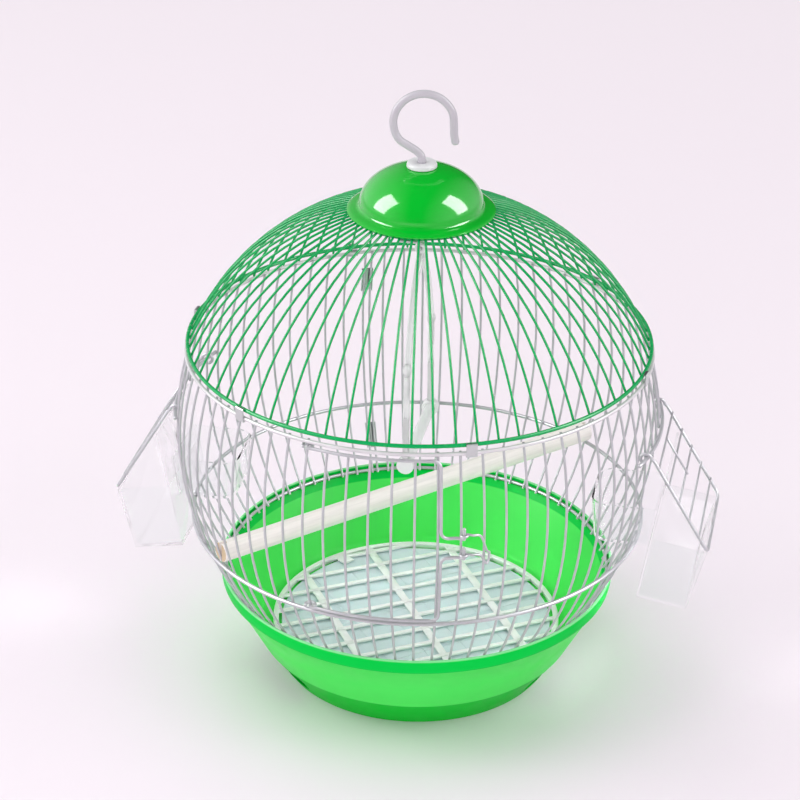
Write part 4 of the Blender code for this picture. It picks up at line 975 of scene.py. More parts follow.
class CrownSettings(bpy.types.PropertyGroup):
    """Cap, hook and steel fittings."""

    cap_colour: FloatVectorProperty(
        name="Cap",
        description="Colour of the cap",
        default=(0.0, 0.50, 0.025),
        subtype="COLOR",
        min=0.0,
        max=1.0,
    )
    hook_colour: FloatVectorProperty(
        name="Hook",
        description="Colour of the hook",
        default=(0.56, 0.53, 0.58),
        subtype="COLOR",
        min=0.0,
        max=1.0,
    )
    hook_wire: FloatProperty(
        name="Hook Rod",
        description="Diameter of the hook's rod",
        default=0.0056,
        subtype="DISTANCE",
        unit="LENGTH",
    )
    hook_loop: FloatProperty(
        name="Hook Loop",
        description="Radius of the hook's open loop, to the middle of its rod",
        default=0.0209,
        subtype="DISTANCE",
        unit="LENGTH",
    )
    steel_colour: FloatVectorProperty(
        name="Steel",
        description="Colour of the plated steel fittings",
        default=(0.60, 0.62, 0.62),
        subtype="COLOR",
        min=0.0,
        max=1.0,
    )


class PerchSettings(bpy.types.PropertyGroup):
    """Wooden perch and the swing."""

    perch: FloatProperty(
        name="Perch",
        description="Diameter of the wooden perch",
        default=0.015,
        subtype="DISTANCE",
        unit="LENGTH",
    )
    wood_colour: FloatVectorProperty(
        name="Wood",
        description="Colour of the pale wood",
        default=(0.98, 0.915, 0.885),
        subtype="COLOR",
        min=0.0,
        max=1.0,
    )
    swing_colour: FloatVectorProperty(
        name="Swing",
        description="Colour of the milky swing",
        default=(0.92, 0.91, 0.93),
        subtype="COLOR",
        min=0.0,
        max=1.0,
    )


class FeederSettings(bpy.types.PropertyGroup):
    """Clear feeders at the two sides."""

    clear_colour: FloatVectorProperty(
        name="Clear Plastic",
        description="Tint of the clear feeders",
        default=(0.97, 0.985, 0.98),
        subtype="COLOR",
        min=0.0,
        max=1.0,
    )
    wall: FloatProperty(
        name="Wall",
        description="Thickness of the feeders' walls",
        default=0.0017,
        subtype="DISTANCE",
        unit="LENGTH",
    )


def wire_look():
    """Plated wire of the body, the door and the flaps."""
    colour = tuple(bpy.context.scene.cage_wire.body_colour)
    return kept_look(
        "plated_wire", plated_wire, colour=colour, roughness=0.36, metallic=0.3
    )


def steel_look():
    """Plated steel of the small fittings."""
    colour = tuple(bpy.context.scene.cage_crown.steel_colour)
    return kept_look(
        "plated_steel", plated_wire, colour=colour, roughness=0.3, metallic=1.0
    )


def neck_highlight_look():
    """Plated wire of the hoop at the neck, paler and less metallic than the body's wires as a
    painted highlight.
    """
    return kept_look(
        "bright_wire", plated_wire, colour=(0.72, 0.69, 0.72), roughness=0.42, metallic=0.1
    )


def moulded_look(name, colour, roughness, milky, tint=(1.0, 1.0, 1.0)):
    """Moulded plastic of one of the white and pale pieces."""
    return kept_look(
        name, moulded_plastic, colour=colour, roughness=roughness, milky=milky, tint=tint
    )


def wire_template(meridian, lifts, out, radius):
    """Mesh of one upright wire at the door's middle, on its meridian."""
    bm = bmesh.new()
    path = [meridian.place(0.0, lift, out) for lift in lifts]
    sweep(bm, path, radius, sides=8, round_ends=False)
    mesh = bpy.data.meshes.new("wire_template")
    bm.to_mesh(mesh)
    bm.free()
    return mesh


def even_lifts(low, high, count):
    """Lifts or heights from low to high at even steps."""
    return [low + (high - low) * step / count for step in range(count + 1)]


def jitter(number, salt):
    """Repeatable value between -1 and 1 for a numbered wire."""
    value = math.sin(number * 12.9898 + salt * 78.233) * 43758.5453
    return (value - math.floor(value)) * 2.0 - 1.0


# Steps along a wire's arc, the ends of a bar past the wires that it joins, and how the
# hoop at the foot and the small ring under the cap differ from the other hoops.
LONG_STEPS = 14
SHORT_STEPS = 5
DOME_STEPS = 15
BAR_STEPS = 24
BAR_END = 0.3
FOOT_HOOP_OUT = 0.001
FOOT_HOOP_SHARE = 0.9
CROWN_RING_IN = 0.0014
CROWN_RING_STEPS = 72


class CAGE_OT_body_wires(bpy.types.Operator):
    """Model the body's upright wires, its three hoops and the bars over the feeders"""

    bl_idname = "cage.body_wires"
    bl_label = "Body Wires"

    def execute(self, context):
        settings = context.scene.cage_wire
        radius = settings.wire / 2.0
        bottom = SKIN.lift(BOTTOM_HOOP_Z - HOOP_REACH)
        lower = SKIN.lift(LOWER_HOOP_Z + HOOP_REACH)
        header = SKIN.lift(HEADER_Z - HOOP_REACH)
        top = SKIN.lift(TOP_HOOP_Z + HOOP_REACH)
        stub = even_lifts(bottom, lower, SHORT_STEPS)
        kinds = {
            "full": [even_lifts(bottom, top, LONG_STEPS)],
            "stub": [stub],
            "cut": [stub, even_lifts(header, top, SHORT_STEPS)],
        }
        wander = math.degrees(settings.wander)
        places = {"full": [SEAM_WIRE * PITCH - SEAM_STEP], "stub": [], "cut": []}
        for wire in WIRE_NUMBERS:
            if abs(wire) < DOOR_WIRES:
                kind = "stub"
            elif FEEDER_FIRST < abs(wire) < FEEDER_LAST:
                kind = "cut"
            else:
                kind = "full"
            fixed = abs(wire) <= DOOR_WIRES + 1 or wire == SEAM_WIRE
            shift = 0.0 if fixed else wander * jitter(wire, 1)
            places[kind].append(wire * PITCH + shift)
        bm = bmesh.new()
        for kind, runs in kinds.items():
            for lifts in runs:
                template = wire_template(SKIN, lifts, -radius, radius)
                add_copies(bm, template, places[kind])
                bpy.data.meshes.remove(template)
        nodes = nodes_named("body_panel")
        finish_piece("body_wires", bm, wire_look(), "cage", nodes, WIRE_SHARP)
        self.add_hoops(settings)
        return {"FINISHED"}

    def add_hoops(self, settings):
        """Three hoops outside the wires and a bar over each feeder."""
        bm = bmesh.new()
        out = settings.hoop / 2.0 - WELD
        hoop_on(bm, SKIN, LOWER_HOOP_Z, out, settings.hoop)
        foot_radius = SKIN.across(BOTTOM_HOOP_Z) + FOOT_HOOP_OUT
        hoop(bm, foot_radius, BOTTOM_HOOP_Z, settings.hoop * FOOT_HOOP_SHARE)
        lift = SKIN.lift(HEADER_Z)
        first = (FEEDER_FIRST - 1) * PITCH - BAR_END
        last = (FEEDER_LAST + 1) * PITCH + BAR_END
        for side in (-1.0, 1.0):
            path = []
            for step in range(BAR_STEPS + 1):
                angle = side * (first + (last - first) * step / BAR_STEPS)
                path.append(SKIN.place(angle, lift, out))
            sweep(bm, path, settings.hoop / 2.0)
        finish_piece("body_hoops", bm, wire_look(), "cage", (), WIRE_SHARP)
        # The neck hoop gets its own paler wire, a painted highlight.
        bm = bmesh.new()
        hoop_on(bm, SKIN, TOP_HOOP_Z, out, settings.hoop)
        finish_piece("neck_hoop", bm, neck_highlight_look(), "cage", (), WIRE_SHARP)


class CAGE_OT_dome_wires(bpy.types.Operator):
    """Model the dome's painted wires, its foot ring and the small ring under the cap"""

    bl_idname = "cage.dome_wires"
    bl_label = "Dome Wires"

    def execute(self, context):
        settings = context.scene.cage_wire
        colour = tuple(settings.dome_colour)
        look = kept_look(
            "painted_wire", plated_wire, colour=colour, roughness=0.26, metallic=0.0
        )
        radius = settings.wire / 2.0
        lifts = even_lifts(DOME.lift(RING_Z - HOOP_OUT), DOME.lift(CROWN_Z), DOME_STEPS)
        template = wire_template(DOME, lifts, -radius, radius)
        wander = math.degrees(settings.wander)
        angles = []
        for wire in WIRE_NUMBERS:
            angles.append(wire * PITCH + DOME_TURN + wander * jitter(wire, 2))
        bm = bmesh.new()
        add_copies(bm, template, angles)
        bpy.data.meshes.remove(template)
        nodes = nodes_named("dome_panel")
        finish_piece("dome_wires", bm, look, "cage", nodes, WIRE_SHARP)
        bm = bmesh.new()
        hoop_on(bm, DOME, RING_Z, settings.hoop / 2.0 - WELD, settings.hoop)
        hoop_on(bm, DOME, CROWN_Z, -CROWN_RING_IN, settings.hoop, CROWN_RING_STEPS)
        finish_piece("dome_rings", bm, look, "cage", (), WIRE_SHARP)
        return {"FINISHED"}


# The tub: a hollow skirt below the raised floor, a wall, and a band round the rim.
TUB_HEIGHT = 0.0815
TUB_FOOT_RADIUS = 0.101
TUB_FLOOR_RADIUS = 0.118
TUB_FLOOR_Z = 0.025
TUB_WALL = 0.0022
RIM_BAND = 0.0105
RIM_THICK = 0.0026
BAND_LEAN = 0.0014
BAND_STEP = 0.002
LEDGE_Z = TUB_HEIGHT - 0.0055
SLOT_MIDDLES = (-78.0, 102.0)
SLOT_WIDTH = 84.0
SLOT_LOW = 0.006
SLOT_HIGH = 0.0205
SLOT_ROUND = 0.0045
SLOT_STEPS = 36


def tub_look():
    """Green moulded plastic, toned in bands of painted light and shade: painted shade on the
    hollow skirt and on the band round the rim, lighter on the thin wall where light shows
    through it, and a painted highlight along the rim's top.
    """
    wall = tuple(bpy.context.scene.cage_tub.tub_colour)
    # Painted shade of the hollow skirt: a darker, deeper green.
    painted_skirt_shade = (0.0, wall[1] * 0.66, wall[2] * 0.25)
    bands = (
        (0.0, painted_skirt_shade),
        (TUB_FLOOR_Z, wall),
        # Painted shade on the band round the rim.
        (TUB_HEIGHT - RIM_BAND, (0.0, wall[1] * 0.76, wall[2] * 0.55)),
        # Painted highlight along the top of the rim.
        (TUB_HEIGHT - 0.0006, (0.28, 0.84, 0.36)),
    )
    return kept_look(
        "tub_green",
        shade_banded_plastic,
        bands=bands,
        height=TUB_HEIGHT,
        roughness=0.36,
        milky=0.0,
        tint=(0.3, 1.0, 0.4),
    )


class CAGE_OT_tub(bpy.types.Operator):
    """Model the moulded tub with its banded rim, ledge, raised floor and slotted skirt"""

    bl_idname = "cage.tub"
    bl_label = "Tub"

    def execute(self, context):
        low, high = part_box("base_tub")
        rim_outer = (high.x - low.x) / 2.0
        rim_inner = rim_outer - RIM_THICK
        band_z = TUB_HEIGHT - RIM_BAND
        band = rim_outer - BAND_LEAN
        wall = band - BAND_STEP
        slope = (wall - TUB_FLOOR_RADIUS) / (band_z - TUB_FLOOR_Z)
        ledge_inner = wall - TUB_WALL
        under = TUB_FLOOR_Z - TUB_WALL
        foot_slope = (TUB_FLOOR_RADIUS - TUB_FOOT_RADIUS) / TUB_FLOOR_Z
        floor_inner = TUB_FLOOR_RADIUS - TUB_WALL
        skirt_inner = TUB_FOOT_RADIUS + foot_slope * under - TUB_WALL
        top_rise = band_z - TUB_FLOOR_Z
        middle_z = (LEDGE_Z + TUB_FLOOR_Z) / 2.0
        profile = [
            # outside of the skirt
            (TUB_FOOT_RADIUS - 0.0004, 0.0),
            (TUB_FOOT_RADIUS + 0.0001, 0.0006),
            (TUB_FLOOR_RADIUS - 0.0012, TUB_FLOOR_Z - 0.0018),
            (TUB_FLOOR_RADIUS - 0.0003, TUB_FLOOR_Z - 0.0006),
            # outside of the wall
            (TUB_FLOOR_RADIUS + 0.0006, TUB_FLOOR_Z + 0.0005),
            (TUB_FLOOR_RADIUS + slope * top_rise * 0.5, TUB_FLOOR_Z + top_rise * 0.5),
            (TUB_FLOOR_RADIUS + slope * top_rise * 0.965, band_z - 0.0018),
            (wall + 0.0004, band_z - 0.0011),
            # band and rim
            (band - 0.0006, band_z - 0.0006),
            (band, band_z),
            (band + 0.0004, band_z + 0.002),
            (rim_outer - 0.0004, TUB_HEIGHT - 0.0016),
            (rim_outer - 0.0007, TUB_HEIGHT - 0.0006),
            (rim_outer - 0.0013, TUB_HEIGHT),
            (rim_inner + 0.0005, TUB_HEIGHT),
            (rim_inner, TUB_HEIGHT - 0.0005),
            (rim_inner, LEDGE_Z + 0.0004),
            # ledge that takes the cage
            (rim_inner - 0.0004, LEDGE_Z),
            (ledge_inner + 0.0008, LEDGE_Z),
            (ledge_inner - 0.0001, LEDGE_Z - 0.0008),
            # inside of the wall and top of the floor
            (floor_inner + (ledge_inner - floor_inner) * 0.5, middle_z),
            (floor_inner + 0.0024, TUB_FLOOR_Z + 0.0042),
            (floor_inner + 0.0008, TUB_FLOOR_Z + 0.0016),
            (floor_inner - 0.0008, TUB_FLOOR_Z + 0.0004),
            (floor_inner - 0.0030, TUB_FLOOR_Z),
            (floor_inner * 0.6, TUB_FLOOR_Z),
            (0.0, TUB_FLOOR_Z),
            # underside of the floor and inside of the skirt
            (0.0, under),
            (skirt_inner * 0.6, under),
            (skirt_inner - 0.0012, under),
            (skirt_inner - 0.0002, under - 0.0012),
            (TUB_FOOT_RADIUS - TUB_WALL, 0.0006),
            (TUB_FOOT_RADIUS - TUB_WALL + 0.0004, 0.0),
        ]
        bm = bmesh.new()
        spin_profile(bm, profile, 144)
        made = finish_piece(
            "tub", bm, tub_look(), "tub", ("base_tub",), CARVED_SHARP
        )
        for number, middle in enumerate(SLOT_MIDDLES):
            bm = bmesh.new()
            self.add_slot(bm, middle)
            cut_away(made, "hand_slot_%d" % number, bm)
        return {"FINISHED"}

    def add_slot(self, bm, middle):
        """Wedge with rounded ends that cuts a hand slot through the skirt."""
        inner = TUB_FOOT_RADIUS * 0.9
        outer = TUB_FLOOR_RADIUS * 1.05
        start = middle - SLOT_WIDTH / 2.0
        corners = [
            bm.verts.new(at(start, inner, SLOT_LOW)),
            bm.verts.new(at(start, outer, SLOT_LOW)),
            bm.verts.new(at(start, outer, SLOT_HIGH)),
            bm.verts.new(at(start, inner, SLOT_HIGH)),
        ]
        face = bm.faces.new(corners)
        far_end = bmesh.ops.spin(
            bm,
            geom=[face, *face.edges, *face.verts],
            cent=(0.0, 0.0, 0.0),
            axis=(0.0, 0.0, 1.0),
            angle=math.radians(SLOT_WIDTH),
            steps=SLOT_STEPS,
        )["geom_last"]
        rounded = []
        for edge in [*face.edges, *parts_of(far_end)[1]]:
            first, second = edge.verts
            level = abs(first.co.z - second.co.z) < LEVEL
            radial = abs(first.co.xy.length - second.co.xy.length) > 0.005
            if level and radial:
                rounded.append(edge)
        bevel_edges(bm, rounded, SLOT_ROUND, segments=5)


# The grating and the tray under it lie on the tub's floor.
GRATE_RADIUS = 0.108
GRATE_RING = 0.0042
GRATE_TOP = 0.0297
GRATE_PLATE = 0.0022
GRATE_TURN = 32.0
THIN_BAR = 0.004
THICK_BAR = 0.006
THICK_BAR_PITCH = 0.06
TAB_ANGLE = -134.0
TAB_TURN = -126.0
TAB_IN = 0.009
TRAY_RADIUS = 0.1015
TRAY_RIM = 0.0018
TRAY_PLATE = 0.0012
RIB_TURNS = (38.0, -52.0)
RIB_OFFSETS = (-0.045, -0.015, 0.015, 0.045)


class CAGE_OT_litter_tray(bpy.types.Operator):
    """Model the thin litter tray with its rim and low ribs"""

    bl_idname = "cage.litter_tray"
    bl_label = "Litter Tray"

    def execute(self, context):
        colour = tuple(context.scene.cage_tub.tray_colour)
        look = moulded_look("tray_plastic", colour, 0.35, 0.2, tint=(0.6, 1.0, 1.0))
        low = TUB_FLOOR_Z + GAP
        rim = low + TRAY_RIM
        plate = low + TRAY_PLATE
        profile = [
            (0.0, low),
            (TRAY_RADIUS - 0.0012, low),
            (TRAY_RADIUS - 0.0003, low + 0.0003),
            (TRAY_RADIUS, low + 0.0008),
            (TRAY_RADIUS, rim - 0.0004),
            (TRAY_RADIUS - 0.0004, rim),
            (TRAY_RADIUS - 0.0012, rim),
            (TRAY_RADIUS - 0.0018, rim - 0.0003),
            (TRAY_RADIUS - 0.0026, plate),
            (TRAY_RADIUS * 0.5, plate),
            (0.0, plate),
        ]
        bm = bmesh.new()
        spin_profile(bm, profile, 96)
        for turn in RIB_TURNS:
            turned = Matrix.Rotation(math.radians(turn), 4, "Z")
            for offset in RIB_OFFSETS:
                half = math.sqrt((TRAY_RADIUS - 0.004) ** 2 - offset ** 2)
                place = turned @ Matrix.Translation((0.0, offset, plate))
                bevelled_box(bm, (2.0 * half, 0.0016, 0.0007), place, 0.0002, segments=1)
        finish_piece("litter_tray_disc", bm, look, "tray", ("litter_tray",))
        return {"FINISHED"}


class CAGE_OT_grating(bpy.types.Operator):
    """Model the floor grating: a ring, thin bars, thick cross bars and a lift tab"""

    bl_idname = "cage.grating"
    bl_label = "Grating"

    def execute(self, context):
        settings = context.scene.cage_tub
        colour = tuple(settings.grating_colour)
        look = moulded_look("grating_plastic", colour, 0.3, 0.25)
        low = TUB_FLOOR_Z + GAP
        inner = GRATE_RADIUS - GRATE_RING
        profile = [
            (inner + 0.0009, low),
            (GRATE_RADIUS - 0.0012, low),
            (GRATE_RADIUS - 0.0003, low + 0.0004),
            (GRATE_RADIUS, low + 0.0012),
            (GRATE_RADIUS, GRATE_TOP - 0.0008),
            (GRATE_RADIUS - 0.0008, GRATE_TOP),
            (inner + 0.0006, GRATE_TOP),
            (inner, GRATE_TOP - 0.0006),
        ]
        bm = bmesh.new()
        spin_profile(bm, profile, 120)
        turned = Matrix.Rotation(math.radians(GRATE_TURN), 4, "Z")
        reach = GRATE_RADIUS - GRATE_RING / 2.0
        middle = GRATE_TOP - GRATE_PLATE / 2.0
        count = int(reach / settings.bar_pitch - 0.2)
        for number in range(-count, count + 1):
            offset = number * settings.bar_pitch
            half = math.sqrt(reach ** 2 - offset ** 2)
            place = turned @ Matrix.Translation((0.0, offset, middle - 0.0001))
            bevelled_box(bm, (2.0 * half, THIN_BAR, GRATE_PLATE - 0.0004), place, 0.0007)
        for number in (-1, 0, 1):
            offset = number * THICK_BAR_PITCH
            half = math.sqrt(reach ** 2 - offset ** 2)
            place = turned @ Matrix.Translation((offset, 0.0, middle - 0.0002))
            bevelled_box(bm, (THICK_BAR, 2.0 * half, GRATE_PLATE - 0.001), place, 0.0005)
        tab_spot = at(TAB_ANGLE, GRATE_RADIUS - TAB_IN, middle)
        tab_turn = Matrix.Rotation(math.radians(TAB_TURN), 4, "Z")
        place = Matrix.Translation(tab_spot) @ tab_turn
        bevelled_box(bm, (0.0095, 0.013, GRATE_PLATE - 0.0007), place, 0.0006)
        finish_piece("grating", bm, look, "grate", ("floor_grate",))
        return {"FINISHED"}


# The crown: the cap, the washer on it and the bore that the hook's shank goes through.
CAP_TOP = 0.3932
CAP_RADIUS = 0.0436
CAP_WALL = 0.0018
CAP_STEPS = 18
CAP_ARC = math.radians(76.0)
BRIM_THICK = 0.0016
COLLAR_RADIUS = 0.0107
COLLAR_HEIGHT = 0.0036
COLLAR_TOP = CAP_TOP + GAP + COLLAR_HEIGHT
BORE_RADIUS = 0.0031
BORE_LENGTH = 0.02
STAPLE_WIRE = 0.0024
HOOK_TURN = 11.3
LOOP_SHIFT = 0.0009
TIP_DROP = 0.0144
TIP_RISE = 0.0055


def cut_bore(piece, name, place):
    """Cut the shank's bore through a finished piece."""
    bm = bmesh.new()
    add_prism(bm, BORE_RADIUS, BORE_LENGTH, place, sides=32)
    cut_away(piece, name, bm)


class CAGE_OT_cap(bpy.types.Operator):
    """Model the glossy cap with its flared brim"""

    bl_idname = "cage.cap"
    bl_label = "Cap"

    def execute(self, context):
        colour = tuple(context.scene.cage_crown.cap_colour)
        look = kept_look("cap_green", lacquered_plastic, colour=colour, roughness=0.2)
        low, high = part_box("cap_shell")
        brim = (high.x - low.x) / 2.0
        brim_in = CROWN_Z + 0.0009
        brim_top = brim_in + BRIM_THICK
        base = brim_top + 0.0022
        rise = CAP_TOP - base
        profile = [
            (brim - 0.0005, low.z),
            (brim, low.z + 0.0005),
            (brim, low.z + 0.0011),
            (brim - 0.0006, low.z + BRIM_THICK),
            (brim - 0.003, low.z + BRIM_THICK + 0.0009),
            (CAP_RADIUS + 0.0028, brim_top + 0.0001),
            (CAP_RADIUS + 0.0012, brim_top + 0.0006),
            (CAP_RADIUS + 0.0003, brim_top + 0.0014),
        ]
        for step in range(CAP_STEPS + 1):
            turn = CAP_ARC * step / CAP_STEPS
            height = base + rise * math.sin(turn) / math.sin(CAP_ARC)
            profile.append((CAP_RADIUS * math.cos(turn), height))
        profile.append((BORE_RADIUS + 0.0002, CAP_TOP))
        profile.append((BORE_RADIUS, CAP_TOP - 0.0002))
        profile.append((BORE_RADIUS, CAP_TOP - CAP_WALL))
        for step in range(CAP_STEPS - 2, 0, -1):
            turn = CAP_ARC * step / CAP_STEPS
            height = base + (rise - CAP_WALL) * math.sin(turn) / math.sin(CAP_ARC)
            profile.append(((CAP_RADIUS - CAP_WALL) * math.cos(turn), height))
        profile += [(CAP_RADIUS - CAP_WALL, brim_in), (CAP_RING_RADIUS, brim_in)]
        bm = bmesh.new()
        spin_profile(bm, profile, 96)
        finish_piece("cap", bm, look, "cage", ("cap_shell",), CURVED_SHARP)
        return {"FINISHED"}


class CAGE_OT_hook(bpy.types.Operator):
    """Model the hook with its bent neck, the washer under it and the nut below the cap"""

    bl_idname = "cage.hook"
    bl_label = "Hook"

    def execute(self, context):
        settings = context.scene.cage_crown
        colour = tuple(settings.hook_colour)
        look = moulded_look("hook_plastic", colour, 0.32, 0.1, tint=(1.0, 0.9, 1.0))
        low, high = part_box("hook")
        radius = settings.hook_wire / 2.0
        loop = settings.hook_loop
        centre_z = high.z - radius - loop
        tip_z = centre_z - TIP_DROP
        right = LOOP_SHIFT + loop
        points = [
            (right + 0.0011, tip_z),
            (right + 0.0001, tip_z + TIP_RISE),
            (right - 0.0001, (tip_z + TIP_RISE) * 0.4 + centre_z * 0.6),
        ]
        for angle in range(18, 217, 22):
            turn = math.radians(angle)
            across = LOOP_SHIFT + loop * math.cos(turn)
            points.append((across, centre_z + loop * math.sin(turn)))
        neck = centre_z - loop * math.sin(math.radians(36.0)) - COLLAR_TOP
        for across, rise in ((0.47, 0.72), (0.21, 0.50), (0.04, 0.27), (0.0, 0.05)):
            points.append((-loop * across, COLLAR_TOP + neck * rise))
        points = smooth_curve(points, 6)
        points.append(Vector((0.0, CAP_TOP)))
        points.append(Vector((0.0, low.z + radius * 0.6)))
        direction = sideways(HOOK_TURN)
        path = [direction * u + Vector((0.0, 0.0, z)) for u, z in points]
        bm = bmesh.new()
        sweep(bm, path, radius, sides=24)
        finish_piece("hook_rod", bm, look, "hook_body", ("hook",), ROD_SHARP)
        self.add_washer()
        self.add_nut()
        return {"FINISHED"}

    def add_washer(self):
        """White washer between the cap and the hook."""
        white = moulded_look("washer_plastic", (0.80, 0.80, 0.82), 0.35, 0.2)
        low = CAP_TOP + GAP
        profile = [
            (BORE_RADIUS, low),
            (COLLAR_RADIUS - 0.0003, low),
            (COLLAR_RADIUS, low + 0.0003),
            (COLLAR_RADIUS - 0.0001, low + 0.0018),
            (COLLAR_RADIUS - 0.0005, COLLAR_TOP - 0.0008),
            (COLLAR_RADIUS - 0.0012, COLLAR_TOP - 0.0002),
            (COLLAR_RADIUS - 0.0024, COLLAR_TOP),
            (BORE_RADIUS + 0.0022, COLLAR_TOP),
            (BORE_RADIUS + 0.0006, COLLAR_TOP - 0.0003),
            (BORE_RADIUS, COLLAR_TOP - 0.0009),
        ]
        bm = bmesh.new()
        spin_profile(bm, profile, 64)
        finish_piece("hook_washer", bm, white, "cage", ("hook_collar",))

    def add_nut(self):
        """Hexagonal nut with chamfered corners on the hook's shank."""
        low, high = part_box("hook_nut")
        radius = (high.y - low.y) / math.sqrt(3.0)
        middle = Matrix.Translation((0.0, 0.0, (low.z + high.z) / 2.0))
        turned = middle @ Matrix.Rotation(math.radians(30.0), 4, "Z")
        bm = bmesh.new()
        made = add_prism(bm, radius, high.z - low.z, turned, sides=6)
        bevel_edges(bm, edges_of(made), 0.0004, segments=2)
        made = finish_piece(
            "hook_hexagon", bm, steel_look(), "hook_body", ("hook_nut",)
        )
        cut_bore(made, "hexagon_bore", middle)


class CAGE_OT_crown_fittings(bpy.types.Operator):
    """Model the bar under the cap and the staple that the swing hangs from"""

    bl_idname = "cage.crown_fittings"
    bl_label = "Crown Fittings"

    def execute(self, context):
        low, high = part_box("clamp_bar")
        place = Matrix.Translation((low + high) / 2.0)
        bm = bmesh.new()
        bevelled_box(bm, tuple(high - low), place, 0.0006, segments=3)
        made = finish_piece(
            "crown_bar", bm, steel_look(), "cage", ("clamp_bar",)
        )
        cut_bore(made, "crown_bore", place)
        low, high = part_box("swing_hanger")
        radius = STAPLE_WIRE / 2.0
        spread = high.y - radius
        corners = [
            (0.0, -spread, high.z - radius * 0.5),
            (0.0, -spread, low.z + radius),
            (0.0, spread, low.z + radius),
            (0.0, spread, high.z - radius * 0.5),
        ]
        bm = bmesh.new()
        sweep(bm, round_corners(corners, 0.002, 6), radius, sides=16)
        look = steel_look()
        finish_piece(
            "swing_staple", bm, look, "cage", ("swing_hanger",), ROD_SHARP
        )
        return {"FINISHED"}


# The swing: an eye at the pivot, arms out to a shoulder and down to the feet.
SWING_PIVOT_Z = 0.3325
SWING_SHOULDER = 0.0445
SWING_SHOULDER_Z = 0.2535
SWING_FOOT = 0.0465
SWING_PERCH_Z = 0.183
SWING_PERCH = 0.0082
EYE_RADIUS = 0.0042
EYE_DROP = 0.0024 + EYE_RADIUS
SWING_BAR_HALF = SWING_FOOT + 0.0004875
ARM_HALF = 0.002
ARM_DEPTH = 0.00275
ARM_SOFT = 0.0004
CHANNEL_HALF = 0.0011
CHANNEL_DEPTH = 0.0011


def sweep_section(bm, section, stations):
    """Extrude a closed section through a row of matrices."""
    corners = [bm.verts.new(stations[0] @ Vector((u, v, 0.0))) for u, v in section]
    edges = [bm.edges.new(pair) for pair in zip(corners, corners[1:] + corners[:1])]
    extrude_along(bm, edges, stations)


